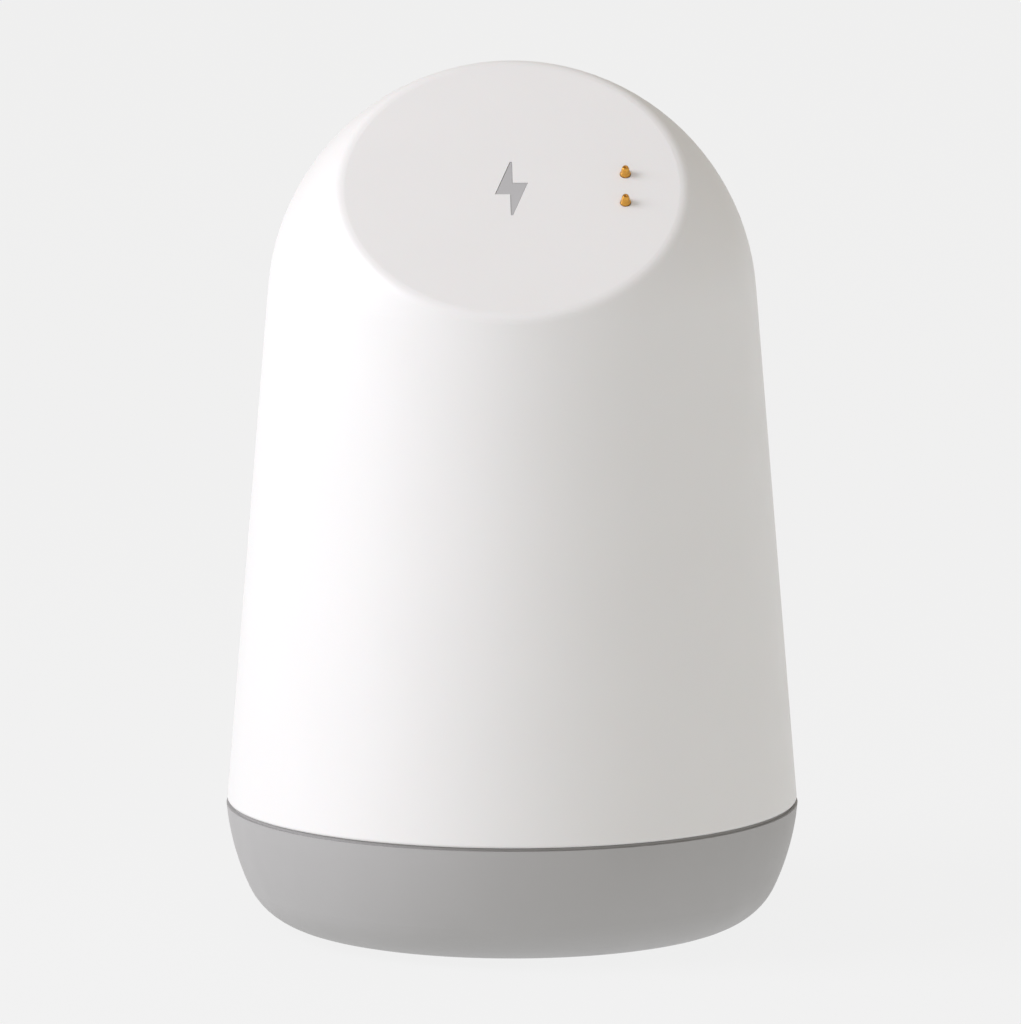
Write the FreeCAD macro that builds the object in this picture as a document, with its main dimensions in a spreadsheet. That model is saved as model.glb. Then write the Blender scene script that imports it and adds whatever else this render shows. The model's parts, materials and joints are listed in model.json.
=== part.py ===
import FreeCAD, Part
import math
import os

import Sketcher

# Charging dock of an ear wax cleaner, in millimetres.
# A white tapered shell with a domed top is cut by a flat round face. The cleaner stands on that face, held
# by two magnets behind it, and charges through two sprung contact pins. A grey cup closes the shell from
# below and holds the main board with its USB-C socket, and a counterweight.
# Frame: +Z is up, the origin is the centre of the foot pad's underside, the face looks towards -Y and up, and
# the USB-C port looks towards +Y. The face has axes of its own: u along +X, v up the slope and w outwards.

DIMENSIONS = (
    ("seam_radius", 29.85, "outer radius of the cup's rim, the widest place of the dock"),
    ("rim_height", 13.15, "height of the cup's rim"),
    ("seam_gap", 0.3, "shadow gap between the cup's rim and the shell's lower edge"),
    ("shell_inset", 0.08, "how far the shell's lower edge stands inside the cup's rim"),
    ("dome_radius", 25.46, "radius of the shell's domed top"),
    ("dome_height", 65.5, "height of the dome's centre"),
    ("shell_wall", 2.2, "wall of the shell"),
    ("shell_edge_round", 0.3, "rounding of the shell's lower outer edge"),
    ("face_tilt", 39.3, "tilt of the docking face from level, in degrees"),
    ("face_radius", 18.05, "radius of the docking face, before its edge is rounded"),
    ("face_edge_round", 1.7, "rounding between the docking face and the dome"),
    ("skirt_wall", 1.05, "wall of the shell's skirt, outside the cup's tongue"),
    ("skirt_height", 2.1, "height of the shell's skirt"),
    ("ledge_inset", 0.45, "how far the ledge under the shell's edge stands inside the cup's rim"),
    ("ledge_clearance", 0.05, "free height between the ledge and the shell's edge"),
    ("tongue_clearance", 0.1, "clearance between the tongue and the skirt"),
    ("tongue_head_room", 0.3, "free height above the tongue"),
    ("cup_flare", 8.7, "how far the flat under the cup stays inside the rim"),
    ("cup_corner_radius", 7.05, "radius of the cup's lower corner"),
    ("cup_corner_sweep", 65.0, "sweep of the cup's lower corner, in degrees"),
    ("cup_wall", 2.2, "wall of the cup"),
    ("stand_height", 0.5, "height of the cup's underside above the table"),
    ("pad_cover", 0.3, "how far the foot pad reaches past the screw wells"),
    ("pad_recess", 0.6, "depth of the recess that holds the foot pad"),
    ("pad_clearance", 0.1, "clearance around the foot pad"),
    ("pad_edge_round", 0.3, "rounding of the foot pad's lower edge"),
    ("tread_inner", 5.0, "inner radius of the foot pad's first tread groove"),
    ("tread_pitch", 3.0, "distance from one tread groove to the next"),
    ("tread_width", 0.7, "width of a tread groove"),
    ("tread_depth", 0.3, "depth of a tread groove"),
    ("post_inset", 14.55, "distance of the case screws from the cup's rim"),
    ("post_wall", 1.1, "wall of a cup post around its screw well"),
    ("boss_wall", 1.81, "wall of a shell boss around its pilot hole"),
    ("joint_drop", 1.15, "how far below the rim posts and bosses meet"),
    ("boss_height", 14.0, "height of a shell boss"),
    ("boss_blind", 1.5, "solid end of a shell boss above its pilot hole"),
    ("web_lift", 4.0, "height of a web's lower edge above the joint"),
    ("web_thickness", 1.6, "thickness of the web between a boss and the wall"),
    ("case_screw_radius", 1.25, "outer radius of a case screw's thread"),
    ("case_screw_length", 11.0, "length of a case screw under its head"),
    ("case_head_step", 0.95, "how far a case screw's head stands out past its thread"),
    ("case_head_height", 1.6, "height of a case screw's head"),
    ("case_seat", 3.5, "thickness of the post's end under which the screw's head sits"),
    ("board_screw_radius", 1.0, "outer radius of a board screw's thread"),
    ("board_screw_length", 4.0, "length of a board screw under its head"),
    ("board_head_step", 0.7, "how far a board screw's head stands out past its thread"),
    ("board_head_height", 1.2, "height of a board screw's head"),
    ("face_screw_length", 5.4, "length of a face screw under its head"),
    ("thread_pitch", 0.8, "pitch of the self-tapping threads"),
    ("thread_depth", 0.2, "depth of the self-tapping threads"),
    ("bite", 0.04, "radial play of a thread in its pilot hole"),
    ("shank_clearance", 0.2, "radial clearance of a screw in a through hole"),
    ("head_clearance", 0.2, "radial clearance of a screw's head in its well"),
    ("drive_width", 0.5, "width of the cross recess in a screw's head"),
    ("drive_depth", 0.7, "depth of the cross recess in a screw's head"),
    ("tape_thickness", 0.8, "thickness of the tape under the counterweight"),
    ("tape_margin", 0.5, "how far the tape stays inside the cup's flat floor"),
    ("weight_inset", 6.35, "distance of the counterweight's edge from the cup's rim"),
    ("weight_chord", 3.0, "Y of the counterweight's straight side"),
    ("weight_height", 8.0, "height of the counterweight"),
    ("weight_chamfer", 2.6, "chamfer around the counterweight's foot"),
    ("weight_clearance", 0.35, "clearance between the counterweight and the front post"),
    ("rib_height", 3.0, "height of the rib that locates the counterweight"),
    ("rib_thickness", 1.2, "thickness of that rib"),
    ("rib_length", 14.0, "length of that rib"),
    ("board_thickness", 1.6, "thickness of the main board"),
    ("standoff_height", 2.0, "height of the main board above the cup's floor"),
    ("standoff_wall", 0.96, "wall of a standoff around its pilot hole"),
    ("standoff_blind", 0.6, "floor left under a standoff's pilot hole"),
    ("board_half_width", 9.4, "half of the main board's width"),
    ("board_rib_gap", 1.05, "gap between the rib and the main board"),
    ("shoulder_setback", 5.6, "distance of the main board's shoulders from the socket's mouth"),
    ("board_tab_half_width", 6.0, "half of the width of the main board's rear tab"),
    ("board_rear_setback", 2.6, "distance of the main board's rear edge from the socket's mouth"),
    ("board_screw_inset", 1.9, "distance of the board screws from the board's long edges"),
    ("rear_screw_setback", 2.4, "distance of the rear board screws from the shoulders"),
    ("front_screw_setback", 2.3, "distance of the front board screw from the front edge"),
    ("port_depth", 3.25, "depth of the port recess's floor, from the cup's rim"),
    ("port_width", 13.0, "width of the port recess"),
    ("port_height", 7.2, "height of the port recess"),
    ("port_edge_round", 0.4, "rounding around the port recess"),
    ("port_block_depth", 1.6, "how far the block behind the port stands in from the recess's floor"),
    ("port_block_sweep", 36.0, "sweep of the block behind the port, in degrees"),
    ("port_block_drop", 0.75, "how far below the rim the block behind the port ends"),
    ("socket_width", 8.94, "outer width of the USB-C socket"),
    ("socket_height", 3.26, "outer height of the USB-C socket"),
    ("socket_length", 7.35, "length of the USB-C socket"),
    ("socket_wall", 0.3, "wall of the socket's metal shell"),
    ("socket_clearance", 0.18, "clearance around the socket in the cup"),
    ("tongue_width", 6.69, "width of the socket's tongue"),
    ("tongue_thickness", 0.7, "thickness of the socket's tongue"),
    ("tongue_setback", 1.0, "distance of the tongue's end from the mouth"),
    ("socket_plug_depth", 1.5, "depth of the insulator that closes the socket's rear"),
    ("socket_play", 0.02, "clearance between the insulator and the metal shell"),
    ("terminal_pitch", 0.5, "pitch of the socket's terminals"),
    ("terminal_width", 0.25, "width of a socket terminal"),
    ("terminal_thickness", 0.1, "thickness of a socket terminal"),
    ("terminal_length", 3.6, "length of a socket terminal"),
    ("leg_width", 1.0, "width of a leg of the metal shell"),
    ("leg_clearance", 0.15, "clearance of a socket's leg or a contact's tail in its board"),
    ("leg_front", 4.1, "distance of the front legs from the mouth"),
    ("leg_rear", 6.7, "distance of the rear legs from the mouth"),
    ("leg_reach", 0.4, "length of a leg below the main board"),
    ("icon_recess", 0.75, "depth of the recess for the charge symbol"),
    ("icon_sink", 0.04, "depth of the charge symbol's top below the face"),
    ("icon_clearance", 0.02, "clearance around the charge symbol"),
    ("icon_u", -0.07, "u of the charge symbol's middle"),
    ("icon_v", -0.02, "v of the charge symbol's middle"),
    ("icon_tip_height", 3.75, "half of the charge symbol's height"),
    ("icon_tip_width", 0.22, "width of the charge symbol's blunt tips"),
    ("icon_half_width", 1.7, "half of the charge symbol's width"),
    ("icon_step", 0.81, "height of the charge symbol's notches"),
    ("icon_notch", 0.12, "sideways place of the charge symbol's notches"),
    ("icon_tip_offset", 0.06, "sideways place of the charge symbol's tips"),
    ("contact_inset", 6.35, "distance of the contact pins from the docking face's edge"),
    ("contact_pitch", 4.0, "distance between the contact pins"),
    ("plunger_radius", 0.55, "radius of a contact pin's plunger"),
    ("plunger_reach", 1.05, "how far a plunger stands out of the face"),
    ("nose_shoulder", 0.2, "how far out of the face a plunger keeps its full width"),
    ("nose_step", 0.14, "how much narrower than its plunger a nose is"),
    ("nose_drop", 0.3, "distance of a nose's corner from its blunt tip"),
    ("tip_step", 0.12, "how much narrower than the nose its blunt tip is"),
    ("dimple_radius", 0.14, "radius of the centre mark in a plunger's tip"),
    ("dimple_depth", 0.15, "depth of the centre mark in a plunger's tip"),
    ("plunger_hole_clearance", 0.04, "clearance of a plunger in the face"),
    ("plunger_play", 0.025, "radial play of a plunger in its barrel"),
    ("piston_length", 0.7, "length of a plunger's piston"),
    ("piston_gap", 0.03, "free gap between the piston and the barrel's shoulder"),
    ("neck_length", 0.4, "length of the narrow neck in which a plunger slides"),
    ("barrel_wall", 0.25, "wall of a contact pin's barrel"),
    ("piston_step", 0.2, "how much wider than its plunger a barrel's bore is"),
    ("barrel_end", 0.3, "thickness of the barrel's closed end"),
    ("tail_radius", 0.35, "radius of the tail soldered into the contact board"),
    ("tail_reach", 0.6, "length of the tail behind the contact board"),
    ("spring_wire", 0.08, "wire radius of a contact pin's spring"),
    ("spring_play", 0.07, "radial play of a spring in its barrel"),
    ("spring_turns", 7.0, "turns of a contact pin's spring"),
    ("block_gap", 0.1, "gap between the pin block and the inside of the face"),
    ("block_depth", 3.9, "depth of the pin block"),
    ("block_wall", 0.98, "wall of the pin block around its barrels"),
    ("block_clearance", 0.15, "clearance of the pin block in the carrier"),
    ("pin_hole_play", 0.02, "radial play of a barrel in the pin block"),
    ("face_boss_wall", 1.16, "wall of a boss behind the face around its pilot hole"),
    ("face_boss_height", 2.6, "height of a boss behind the face"),
    ("face_boss_inset", 5.25, "distance of the bosses behind the face from its edge"),
    ("face_pilot_depth", 3.3, "depth of the pilot holes behind the face"),
    ("carrier_inset", 2.65, "how much smaller than the face the magnet carrier is"),
    ("carrier_plate", 1.4, "thickness of the magnet carrier's plate"),
    ("magnet_radius", 5.0, "radius of a magnet"),
    ("magnet_thickness", 3.0, "thickness of a magnet"),
    ("magnet_clearance", 0.08, "clearance around a magnet"),
    ("magnet_gap", 0.2, "gap between a magnet and the inside of the face"),
    ("magnet_boss_gap", 0.92, "gap between a magnet's cup and the boss beside it"),
    ("magnet_v", 8.4, "distance of the magnets from the face's centre line"),
    ("magnet_cup_wall", 1.1, "wall of the cups that hold the magnets"),
    ("magnet_edge_break", 0.24, "chamfer of a magnet's edges"),
    ("contact_board_inset", 0.4, "how much smaller than the carrier the contact board is"),
    ("contact_board_thickness", 1.0, "thickness of the contact board"),
    ("plug_half_width", 2.45, "half of a wire plug's width"),
    ("plug_half_depth", 1.6, "half of a wire plug's depth"),
    ("plug_length", 4.6, "length of a wire plug"),
    ("header_wall", 0.5, "wall of a wire header"),
    ("header_floor", 0.9, "floor of a wire header"),
    ("header_height", 3.6, "height of a wire header"),
    ("header_clearance", 0.08, "clearance of a plug in its header"),
    ("post_pitch", 2.0, "distance between a header's two terminal posts"),
    ("terminal_post", 0.25, "half of the side of a header's terminal post"),
    ("terminal_post_height", 2.9, "height of a terminal post above the board"),
    ("terminal_post_play", 0.06, "clearance of a terminal post in the plug"),
    ("controller_width", 5.0, "width of the charge controller"),
    ("controller_depth", 4.0, "depth of the charge controller"),
    ("controller_height", 1.0, "height of the charge controller"),
    ("inductor_width", 4.0, "width and depth of the power inductor"),
    ("inductor_height", 1.9, "height of the power inductor"),
    ("protector_width", 1.4, "width of the surge protector"),
    ("protector_depth", 2.4, "depth of the surge protector"),
    ("protector_height", 0.9, "height of the surge protector"),
    ("chip_length", 1.6, "length of the small two-ended parts"),
    ("chip_width", 0.8, "width of the small two-ended parts"),
    ("capacitor_height", 0.8, "height of a capacitor"),
    ("resistor_height", 0.45, "height of a resistor"),
    ("lower_header_x", -4.4, "X of the header on the main board"),
    ("lower_header_y", 9.6, "Y of the header on the main board"),
    ("upper_header_u", 4.0, "u of the header on the contact board"),
    ("upper_header_v", -1.0, "v of the header on the contact board"),
    ("wire_radius", 0.65, "radius of a wire with its insulation"),
    ("wire_play", 0.05, "radial play of a wire in its plug"),
    ("wire_seat", 1.2, "depth to which a wire enters its plug"),
    ("wire_lead", 7.0, "straight length of a wire behind the contact board's plug"),
)

SCREW_ANGLES = (-90.0, 30.0, 150.0)  # case screws, around +Z
FACE_SCREW_ANGLES = (180.0, 60.0, -60.0)  # face screws, around the face's own axis
TREAD_GROOVES = 4
FULL_TURN = 360.0
BIG_CUT = 3.0  # how many dome radii wide and long the cut is that makes the face
HEAD_FLAT = 0.6  # share of a pan head's radius that is flat on top, and that its cross recess reaches
HEAD_RIM = 0.45  # share of a pan head's height that its rim has
TERMINALS_A_SIDE = 12  # on the tongue of the USB-C socket
ARC_REACH = 0.45  # share of the shorter run beside a wire's corner that its arc takes up
VOLUME_MATCH = 0.01  # most that a wire's volume may differ from its section times its length
EPSILON = 1e-6  # a change of volume, or a distance, that counts as none
RING_MATCH = 1e-4  # most that a ring's radius or height may differ from the one looked for

doc = FreeCAD.newDocument("charging_dock")
nodes = []


class Size:
    """A number together with the spreadsheet formula that it comes from."""

    def __init__(self, number, formula):
        self.number = float(number)
        self.formula = formula

    def __float__(self):
        return self.number

    def __neg__(self):
        return Size(-self.number, f"(-{self.formula})")

    def __add__(self, other):
        return Size(self.number + float(other), f"({self.formula} + {formula_of(other)})")

    def __radd__(self, other):
        return Size(float(other) + self.number, f"({formula_of(other)} + {self.formula})")

    def __sub__(self, other):
        return Size(self.number - float(other), f"({self.formula} - {formula_of(other)})")

    def __rsub__(self, other):
        return Size(float(other) - self.number, f"({formula_of(other)} - {self.formula})")

    def __mul__(self, other):
        return Size(self.number * float(other), f"({self.formula} * {formula_of(other)})")

    def __rmul__(self, other):
        return Size(float(other) * self.number, f"({formula_of(other)} * {self.formula})")

    def __truediv__(self, other):
        return Size(self.number / float(other), f"({self.formula} / {formula_of(other)})")


def formula_of(value):
    """The text that stands for a Size or a plain number in a formula."""
    return value.formula if isinstance(value, Size) else f"({float(value)!r})"


def sine(angle):
    return Size(math.sin(math.radians(float(angle))), f"sin({formula_of(angle)})")


def cosine(angle):
    return Size(math.cos(math.radians(float(angle))), f"cos({formula_of(angle)})")


def arc_cosine(ratio):
    return Size(math.degrees(math.acos(float(ratio))), f"acos({formula_of(ratio)})")


def arc_tangent(ratio):
    return Size(math.degrees(math.atan(float(ratio))), f"atan({formula_of(ratio)})")


def root(value):
    return Size(math.sqrt(float(value)), f"sqrt({formula_of(value)})")


def tangent(angle):
    return Size(math.tan(math.radians(float(angle))), f"tan({formula_of(angle)})")


def make_sheet():
    """Writes the driving dimensions to the spreadsheet and returns each as a Size, by name."""
    sheet = doc.addObject("Spreadsheet::Sheet", "dims")
    sizes = {}
    for row, (alias, number, meaning) in enumerate(DIMENSIONS, start=1):
        sheet.set(f"A{row}", meaning)
        sheet.set(f"B{row}", str(number))
        sheet.setAlias(f"B{row}", alias)
        sizes[alias] = Size(number, f"dims.{alias}")
    doc.recompute()
    return sizes


d = make_sheet()


# Places and curves that several pieces share.

face_depth = root(d["dome_radius"] * d["dome_radius"] - d["face_radius"] * d["face_radius"])


def on_face(u, v, w):
    """Position in the dock's frame of a point given in the face's own axes."""
    out = face_depth + w
    y = v * cosine(d["face_tilt"]) - out * sine(d["face_tilt"])
    z = d["dome_height"] + v * sine(d["face_tilt"]) + out * cosine(d["face_tilt"])
    return u, y, z


shell_foot_radius = d["seam_radius"] - d["shell_inset"]
shell_foot_height = d["rim_height"] + d["seam_gap"]
shell_rise = d["dome_height"] - shell_foot_height
shell_reach = root(shell_foot_radius * shell_foot_radius + shell_rise * shell_rise)
shell_draft = arc_cosine(d["dome_radius"] / shell_reach) - arc_tangent(shell_rise / shell_foot_radius)
skirt_radius = shell_foot_radius - d["skirt_wall"]
cup_floor_radius = d["seam_radius"] - d["cup_flare"]
cup_corner_height = d["stand_height"] + d["cup_corner_radius"]
cup_floor_height = d["stand_height"] + d["cup_wall"]


def cup_corner(angle, inset):
    """Point of the cup's lower corner, inset from its outside, at an angle from straight down."""
    radius = d["cup_corner_radius"] - inset
    return cup_floor_radius + radius * sine(angle), cup_corner_height - radius * cosine(angle)


def cup_side_arc():
    """Radius and centre of the arc that runs on from the cup's corner to its rim."""
    start_x, start_z = cup_corner(d["cup_corner_sweep"], 0)
    across = d["seam_radius"] - start_x
    rise = d["rim_height"] - start_z
    lean = rise * cosine(d["cup_corner_sweep"]) - across * sine(d["cup_corner_sweep"])
    radius = (across * across + rise * rise) / (2 * lean)
    x = start_x - radius * sine(d["cup_corner_sweep"])
    z = start_z + radius * cosine(d["cup_corner_sweep"])
    return radius, x, z


side_radius, side_x, side_z = cup_side_arc()


def cup_side(height, inset):
    """Radius of the cup's side, inset from its outside, at a height."""
    reach = side_radius - inset
    fall = height - side_z
    return side_x + root(reach * reach - fall * fall)


def shell_side(height):
    """Radius of the shell's outside at a height on its straight taper."""
    return shell_foot_radius - (height - shell_foot_height) * tangent(shell_draft)


# Screws, and the posts, bosses and wells that are made around them.
case_pilot_radius = d["case_screw_radius"] + d["bite"]
case_head_radius = d["case_screw_radius"] + d["case_head_step"]
well_radius = case_head_radius + d["head_clearance"]
post_circle = d["seam_radius"] - d["post_inset"]
post_radius = well_radius + d["post_wall"]
boss_radius = case_pilot_radius + d["boss_wall"]
pad_radius = post_circle + well_radius + d["pad_cover"]
joint_height = d["rim_height"] - d["joint_drop"]
board_pilot_radius = d["board_screw_radius"] + d["bite"]
board_head_radius = d["board_screw_radius"] + d["board_head_step"]
standoff_radius = board_pilot_radius + d["standoff_wall"]
face_boss_radius = board_pilot_radius + d["face_boss_wall"]

# Counterweight, port and main board.
weight_radius = d["seam_radius"] - d["weight_inset"]
rib_front = d["weight_chord"] + d["weight_clearance"]
port_floor = d["seam_radius"] - d["port_depth"]
port_block_radius = port_floor - d["port_block_depth"]
port_block_top = d["rim_height"] - d["port_block_drop"]
board_front = rib_front + d["rib_thickness"] + d["board_rib_gap"]
board_shoulder = port_floor - d["shoulder_setback"]
board_rear = port_floor - d["board_rear_setback"]
board_underside = cup_floor_height + d["standoff_height"]
board_top = board_underside + d["board_thickness"]
socket_centre = board_top + d["socket_height"] / 2
screw_seat_height = joint_height - d["case_seat"]
weight_underside = cup_floor_height + d["tape_thickness"]
block_front = -(d["shell_wall"] + d["block_gap"])
carrier_back = block_front - d["block_depth"]
face_boss_end = -(d["shell_wall"] + d["face_boss_height"])
contact_board_back = carrier_back - d["contact_board_thickness"]
magnet_back = -(d["shell_wall"] + d["magnet_gap"] + d["magnet_thickness"])

# Contact group behind the face: pins, their block, magnets and carrier.
barrel_bore = d["plunger_radius"] + d["piston_step"]
barrel_radius = barrel_bore + d["barrel_wall"]
nose_radius = d["plunger_radius"] - d["nose_step"]
spring_radius = barrel_bore - d["spring_wire"] - d["spring_play"]
pin_hole_radius = barrel_radius + d["pin_hole_play"]
block_half_width = pin_hole_radius + d["block_wall"]
block_half_height = d["contact_pitch"] / 2 + block_half_width
contact_offset = d["face_radius"] - d["contact_inset"]
face_boss_circle = d["face_radius"] - d["face_boss_inset"]
carrier_radius = d["face_radius"] - d["carrier_inset"]
contact_board_radius = carrier_radius - d["contact_board_inset"]
magnet_well_radius = d["magnet_radius"] + d["magnet_clearance"]
magnet_cup_radius = magnet_well_radius + d["magnet_cup_wall"]


def magnet_place():
    """u of the magnets: as near to the boss beside each as their gap allows."""
    boss_angle = FACE_SCREW_ANGLES[1]
    reach = magnet_cup_radius + face_boss_radius + d["magnet_boss_gap"]
    rise = face_boss_circle * sine(boss_angle) - d["magnet_v"]
    return face_boss_circle * cosine(boss_angle) - root(reach * reach - rise * rise)


magnet_u = magnet_place()

BOARD_SCREWS = (
    (-(d["board_half_width"] - d["board_screw_inset"]), board_shoulder - d["rear_screw_setback"]),
    (d["board_half_width"] - d["board_screw_inset"], board_shoulder - d["rear_screw_setback"]),
    (d["board_half_width"] - d["board_screw_inset"], board_front + d["front_screw_setback"]),
)


def round_places(radius, angles):
    """Points on a circle around the origin."""
    return [(radius * cosine(angle), radius * sine(angle)) for angle in angles]


# Drawing tools.


def bind(item, prop, size):
    """Ties a property to the spreadsheet."""
    item.setExpression(prop, formula_of(size))


def new_body(label, is_node=True):
    """A PartDesign body, listed as a node unless it is only a pattern for copies."""
    body = doc.addObject("PartDesign::Body", label)
    body.Label = label
    if is_node:
        nodes.append(body)
    return body


def place(item, position, tilt=None):
    """Puts an object at a position, turned about +X by the tilt."""
    if tilt is not None:
        item.Placement = FreeCAD.Placement(
            FreeCAD.Vector(), FreeCAD.Rotation(FreeCAD.Vector(1, 0, 0), float(tilt))
        )
        bind(item, ".Placement.Rotation.Angle", tilt)
    for axis, size in zip("xyz", position):
        bind(item, f".Placement.Base.{axis}", size)
    return item


def face_body(label, u=0, v=0, w=0):
    """A body whose own axes are the face's, with its origin at (u, v, w)."""
    return place(new_body(label), on_face(u, v, w), d["face_tilt"])


def sketch_on(body, role, label, base=(0, 0, 0), tilt=None):
    """A sketch on one of the body's own planes, moved by base and turned about its own x axis."""
    sketch = body.newObject("Sketcher::SketchObject", label)
    plane = next(item for item in body.Origin.OriginFeatures if item.Role == role)
    sketch.AttachmentSupport = [(plane, "")]
    sketch.MapMode = "FlatFace"
    if tilt is not None:
        sketch.AttachmentOffset = FreeCAD.Placement(
            FreeCAD.Vector(), FreeCAD.Rotation(FreeCAD.Vector(1, 0, 0), float(tilt))
        )
        bind(sketch, ".AttachmentOffset.Rotation.Angle", tilt)
    for axis, size in zip("xyz", base):
        bind(sketch, f".AttachmentOffset.Base.{axis}", size)
    return sketch


def level_sketch(body, label, height=0):
    """A sketch parallel to the body's XY plane, at a height."""
    return sketch_on(body, "XY_Plane", label, (0, 0, height))


def shell_face_sketch(body, label, w=0):
    """A sketch in the dock's own frame that lies in the face, or w outside it."""
    return sketch_on(body, "XY_Plane", label, on_face(0, 0, w), d["face_tilt"])


def pin_point(sketch, geometry, end, x, y):
    """Fixes a point of a sketch. A coordinate given as None stays free."""
    for kind, size, axis in (("DistanceX", x, -2), ("DistanceY", y, -1)):
        if size is None:
            continue
        if not isinstance(size, Size) and size == 0:
            sketch.addConstraint(Sketcher.Constraint("PointOnObject", geometry, end, axis))
            continue
        index = sketch.addConstraint(Sketcher.Constraint(kind, -1, 1, geometry, end, float(size)))
        bind(sketch, f"Constraints[{index}]", size)


def line_to(x, y):
    """A step of an outline: a straight edge to a point."""
    return {"x": x, "y": y, "turn": 0, "free": ""}


def arc_to(x, y, centre, turn, free):
    """A step of an outline: an arc to a point, counter-clockwise if turn is 1 and clockwise if it is -1.
    The coordinate named by free follows from the arc and isn't fixed a second time."""
    return {"x": x, "y": y, "centre": centre, "turn": turn, "free": free}


def outline(sketch, steps):
    """Draws a closed outline through the steps, each fixed by its own formulas."""
    first = sketch.GeometryCount
    ends = []
    for index, step in enumerate(steps):
        before = steps[index - 1]
        start = FreeCAD.Vector(float(before["x"]), float(before["y"]), 0)
        end = FreeCAD.Vector(float(step["x"]), float(step["y"]), 0)
        if step["turn"] == 0:
            sketch.addGeometry(Part.LineSegment(start, end), False)
            ends.append((1, 2))
            continue
        centre = FreeCAD.Vector(float(step["centre"][0]), float(step["centre"][1]), 0)
        circle = Part.Circle(centre, FreeCAD.Vector(0, 0, 1), (end - centre).Length)
        angles = [math.atan2(p.y - centre.y, p.x - centre.x) for p in (start, end)]
        if step["turn"] < 0:
            angles.reverse()
        sketch.addGeometry(Part.ArcOfCircle(circle, angles[0], angles[1]), False)
        ends.append((1, 2) if step["turn"] > 0 else (2, 1))
    for index, step in enumerate(steps):
        after = (index + 1) % len(steps)
        sketch.addConstraint(
            Sketcher.Constraint("Coincident", first + index, ends[index][1], first + after, ends[after][0])
        )
        x = None if step["free"] == "x" else step["x"]
        y = None if step["free"] == "y" else step["y"]
        pin_point(sketch, first + index, ends[index][1], x, y)
        if step["turn"] != 0:
            pin_point(sketch, first + index, 3, step["centre"][0], step["centre"][1])
    return sketch


def polygon(sketch, corners):
    """A closed outline of straight edges."""
    return outline(sketch, [line_to(x, y) for x, y in corners])


def rectangle(sketch, left, right, low, high):
    return polygon(sketch, [(left, low), (right, low), (right, high), (left, high)])


def circle(sketch, x, y, radius):
    """A circle with its centre and radius fixed."""
    shape = Part.Circle(FreeCAD.Vector(float(x), float(y), 0), FreeCAD.Vector(0, 0, 1), float(radius))
    geometry = sketch.addGeometry(shape, False)
    pin_point(sketch, geometry, 3, x, y)
    index = sketch.addConstraint(Sketcher.Constraint("Radius", geometry, float(radius)))
    bind(sketch, f"Constraints[{index}]", radius)
    return sketch


def circles(sketch, places, radius):
    for x, y in places:
        circle(sketch, x, y, radius)
    return sketch


def stadium(sketch, half_width, half_height, middle=0):
    """A slot shape around (0, middle), lying along x."""
    straight = half_width - half_height
    low = middle - half_height
    high = middle + half_height
    return outline(
        sketch,
        [
            line_to(straight, low),
            arc_to(straight, high, (straight, middle), 1, "y"),
            line_to(-straight, high),
            arc_to(-straight, low, (-straight, middle), 1, "y"),
        ],
    )


def feature(kind, body, sketch, label, adds):
    """A sketch-based feature, set up by the caller's function and checked for having changed the solid."""

    def finish(settings, sizes):
        before = body.Shape.Volume if body.Tip else 0.0
        item = body.newObject(kind, label)
        item.Profile = sketch
        for name, value in settings.items():
            setattr(item, name, value)
        for name, size in sizes.items():
            bind(item, name, size)
        doc.recompute()
        change = body.Shape.Volume - before
        if (change <= EPSILON) if adds else (change >= -EPSILON):
            raise RuntimeError(f"{body.Label}: {label} changed the volume by {change}")
        return item

    return finish


def pad(body, sketch, length, label, back=False):
    """Adds material along the sketch's normal, or against it if back is true."""
    return feature("PartDesign::Pad", body, sketch, label, True)({"Reversed": back}, {"Length": length})


def pocket(body, sketch, depth, label, forward=False):
    """Cuts against the sketch's normal, or along it if forward is true."""
    return feature("PartDesign::Pocket", body, sketch, label, False)({"Reversed": forward}, {"Length": depth})


def revolve(body, sketch, label, sweep=FULL_TURN, centred=False):
    """Turns the sketch around its vertical axis."""
    settings = {"ReferenceAxis": (sketch, ["V_Axis"]), "Midplane": centred}
    return feature("PartDesign::Revolution", body, sketch, label, True)(settings, {"Angle": sweep})


def edges_named(shape, test):
    """Names of the shape's edges that pass the test."""
    return [f"Edge{index}" for index, edge in enumerate(shape.Edges, start=1) if test(edge)]


def dress(kind, body, size, label, test):
    """Rounds or chamfers the tip's edges that pass the test."""
    base = body.Tip
    names = edges_named(base.Shape, test)
    if not names:
        raise RuntimeError(f"{body.Label}: {label} found no edge")
    item = body.newObject(kind, label)
    item.Base = (base, names)
    bind(item, "Radius" if kind.endswith("Fillet") else "Size", size)
    doc.recompute()
    return item


def round_edges(body, radius, label, test):
    return dress("PartDesign::Fillet", body, radius, label, test)


def chamfer_edges(body, size, label, test):
    return dress("PartDesign::Chamfer", body, size, label, test)


def is_ring(edge, radius, height=None):
    """Whether an edge is a circle of that radius, at that height where one is given."""
    if not isinstance(edge.Curve, Part.Circle) or abs(edge.Curve.Radius - float(radius)) > RING_MATCH:
        return False
    return height is None or abs(edge.Curve.Center.z - float(height)) < RING_MATCH


def solid(kind, label, sizes, position=(0, 0, 0), is_node=True):
    """A Part primitive with its sizes and place bound."""
    item = doc.addObject(kind, label)
    item.Label = label
    for name, size in sizes.items():
        bind(item, name, size)
    place(item, position)
    if is_node:
        nodes.append(item)
    return item


def copies(label, pattern, places, tilt=None):
    """One node of separate solids: the pattern's copies at the places."""
    links = []
    for index, position in enumerate(places, start=1):
        link = doc.addObject("App::Link", f"{label}_{index}")
        link.LinkedObject = pattern
        link.LinkTransform = False
        links.append(place(link, position, tilt))
    group = doc.addObject("Part::Compound", label)
    group.Label = label
    group.Links = links
    nodes.append(group)
    return group


# Housing.


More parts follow.
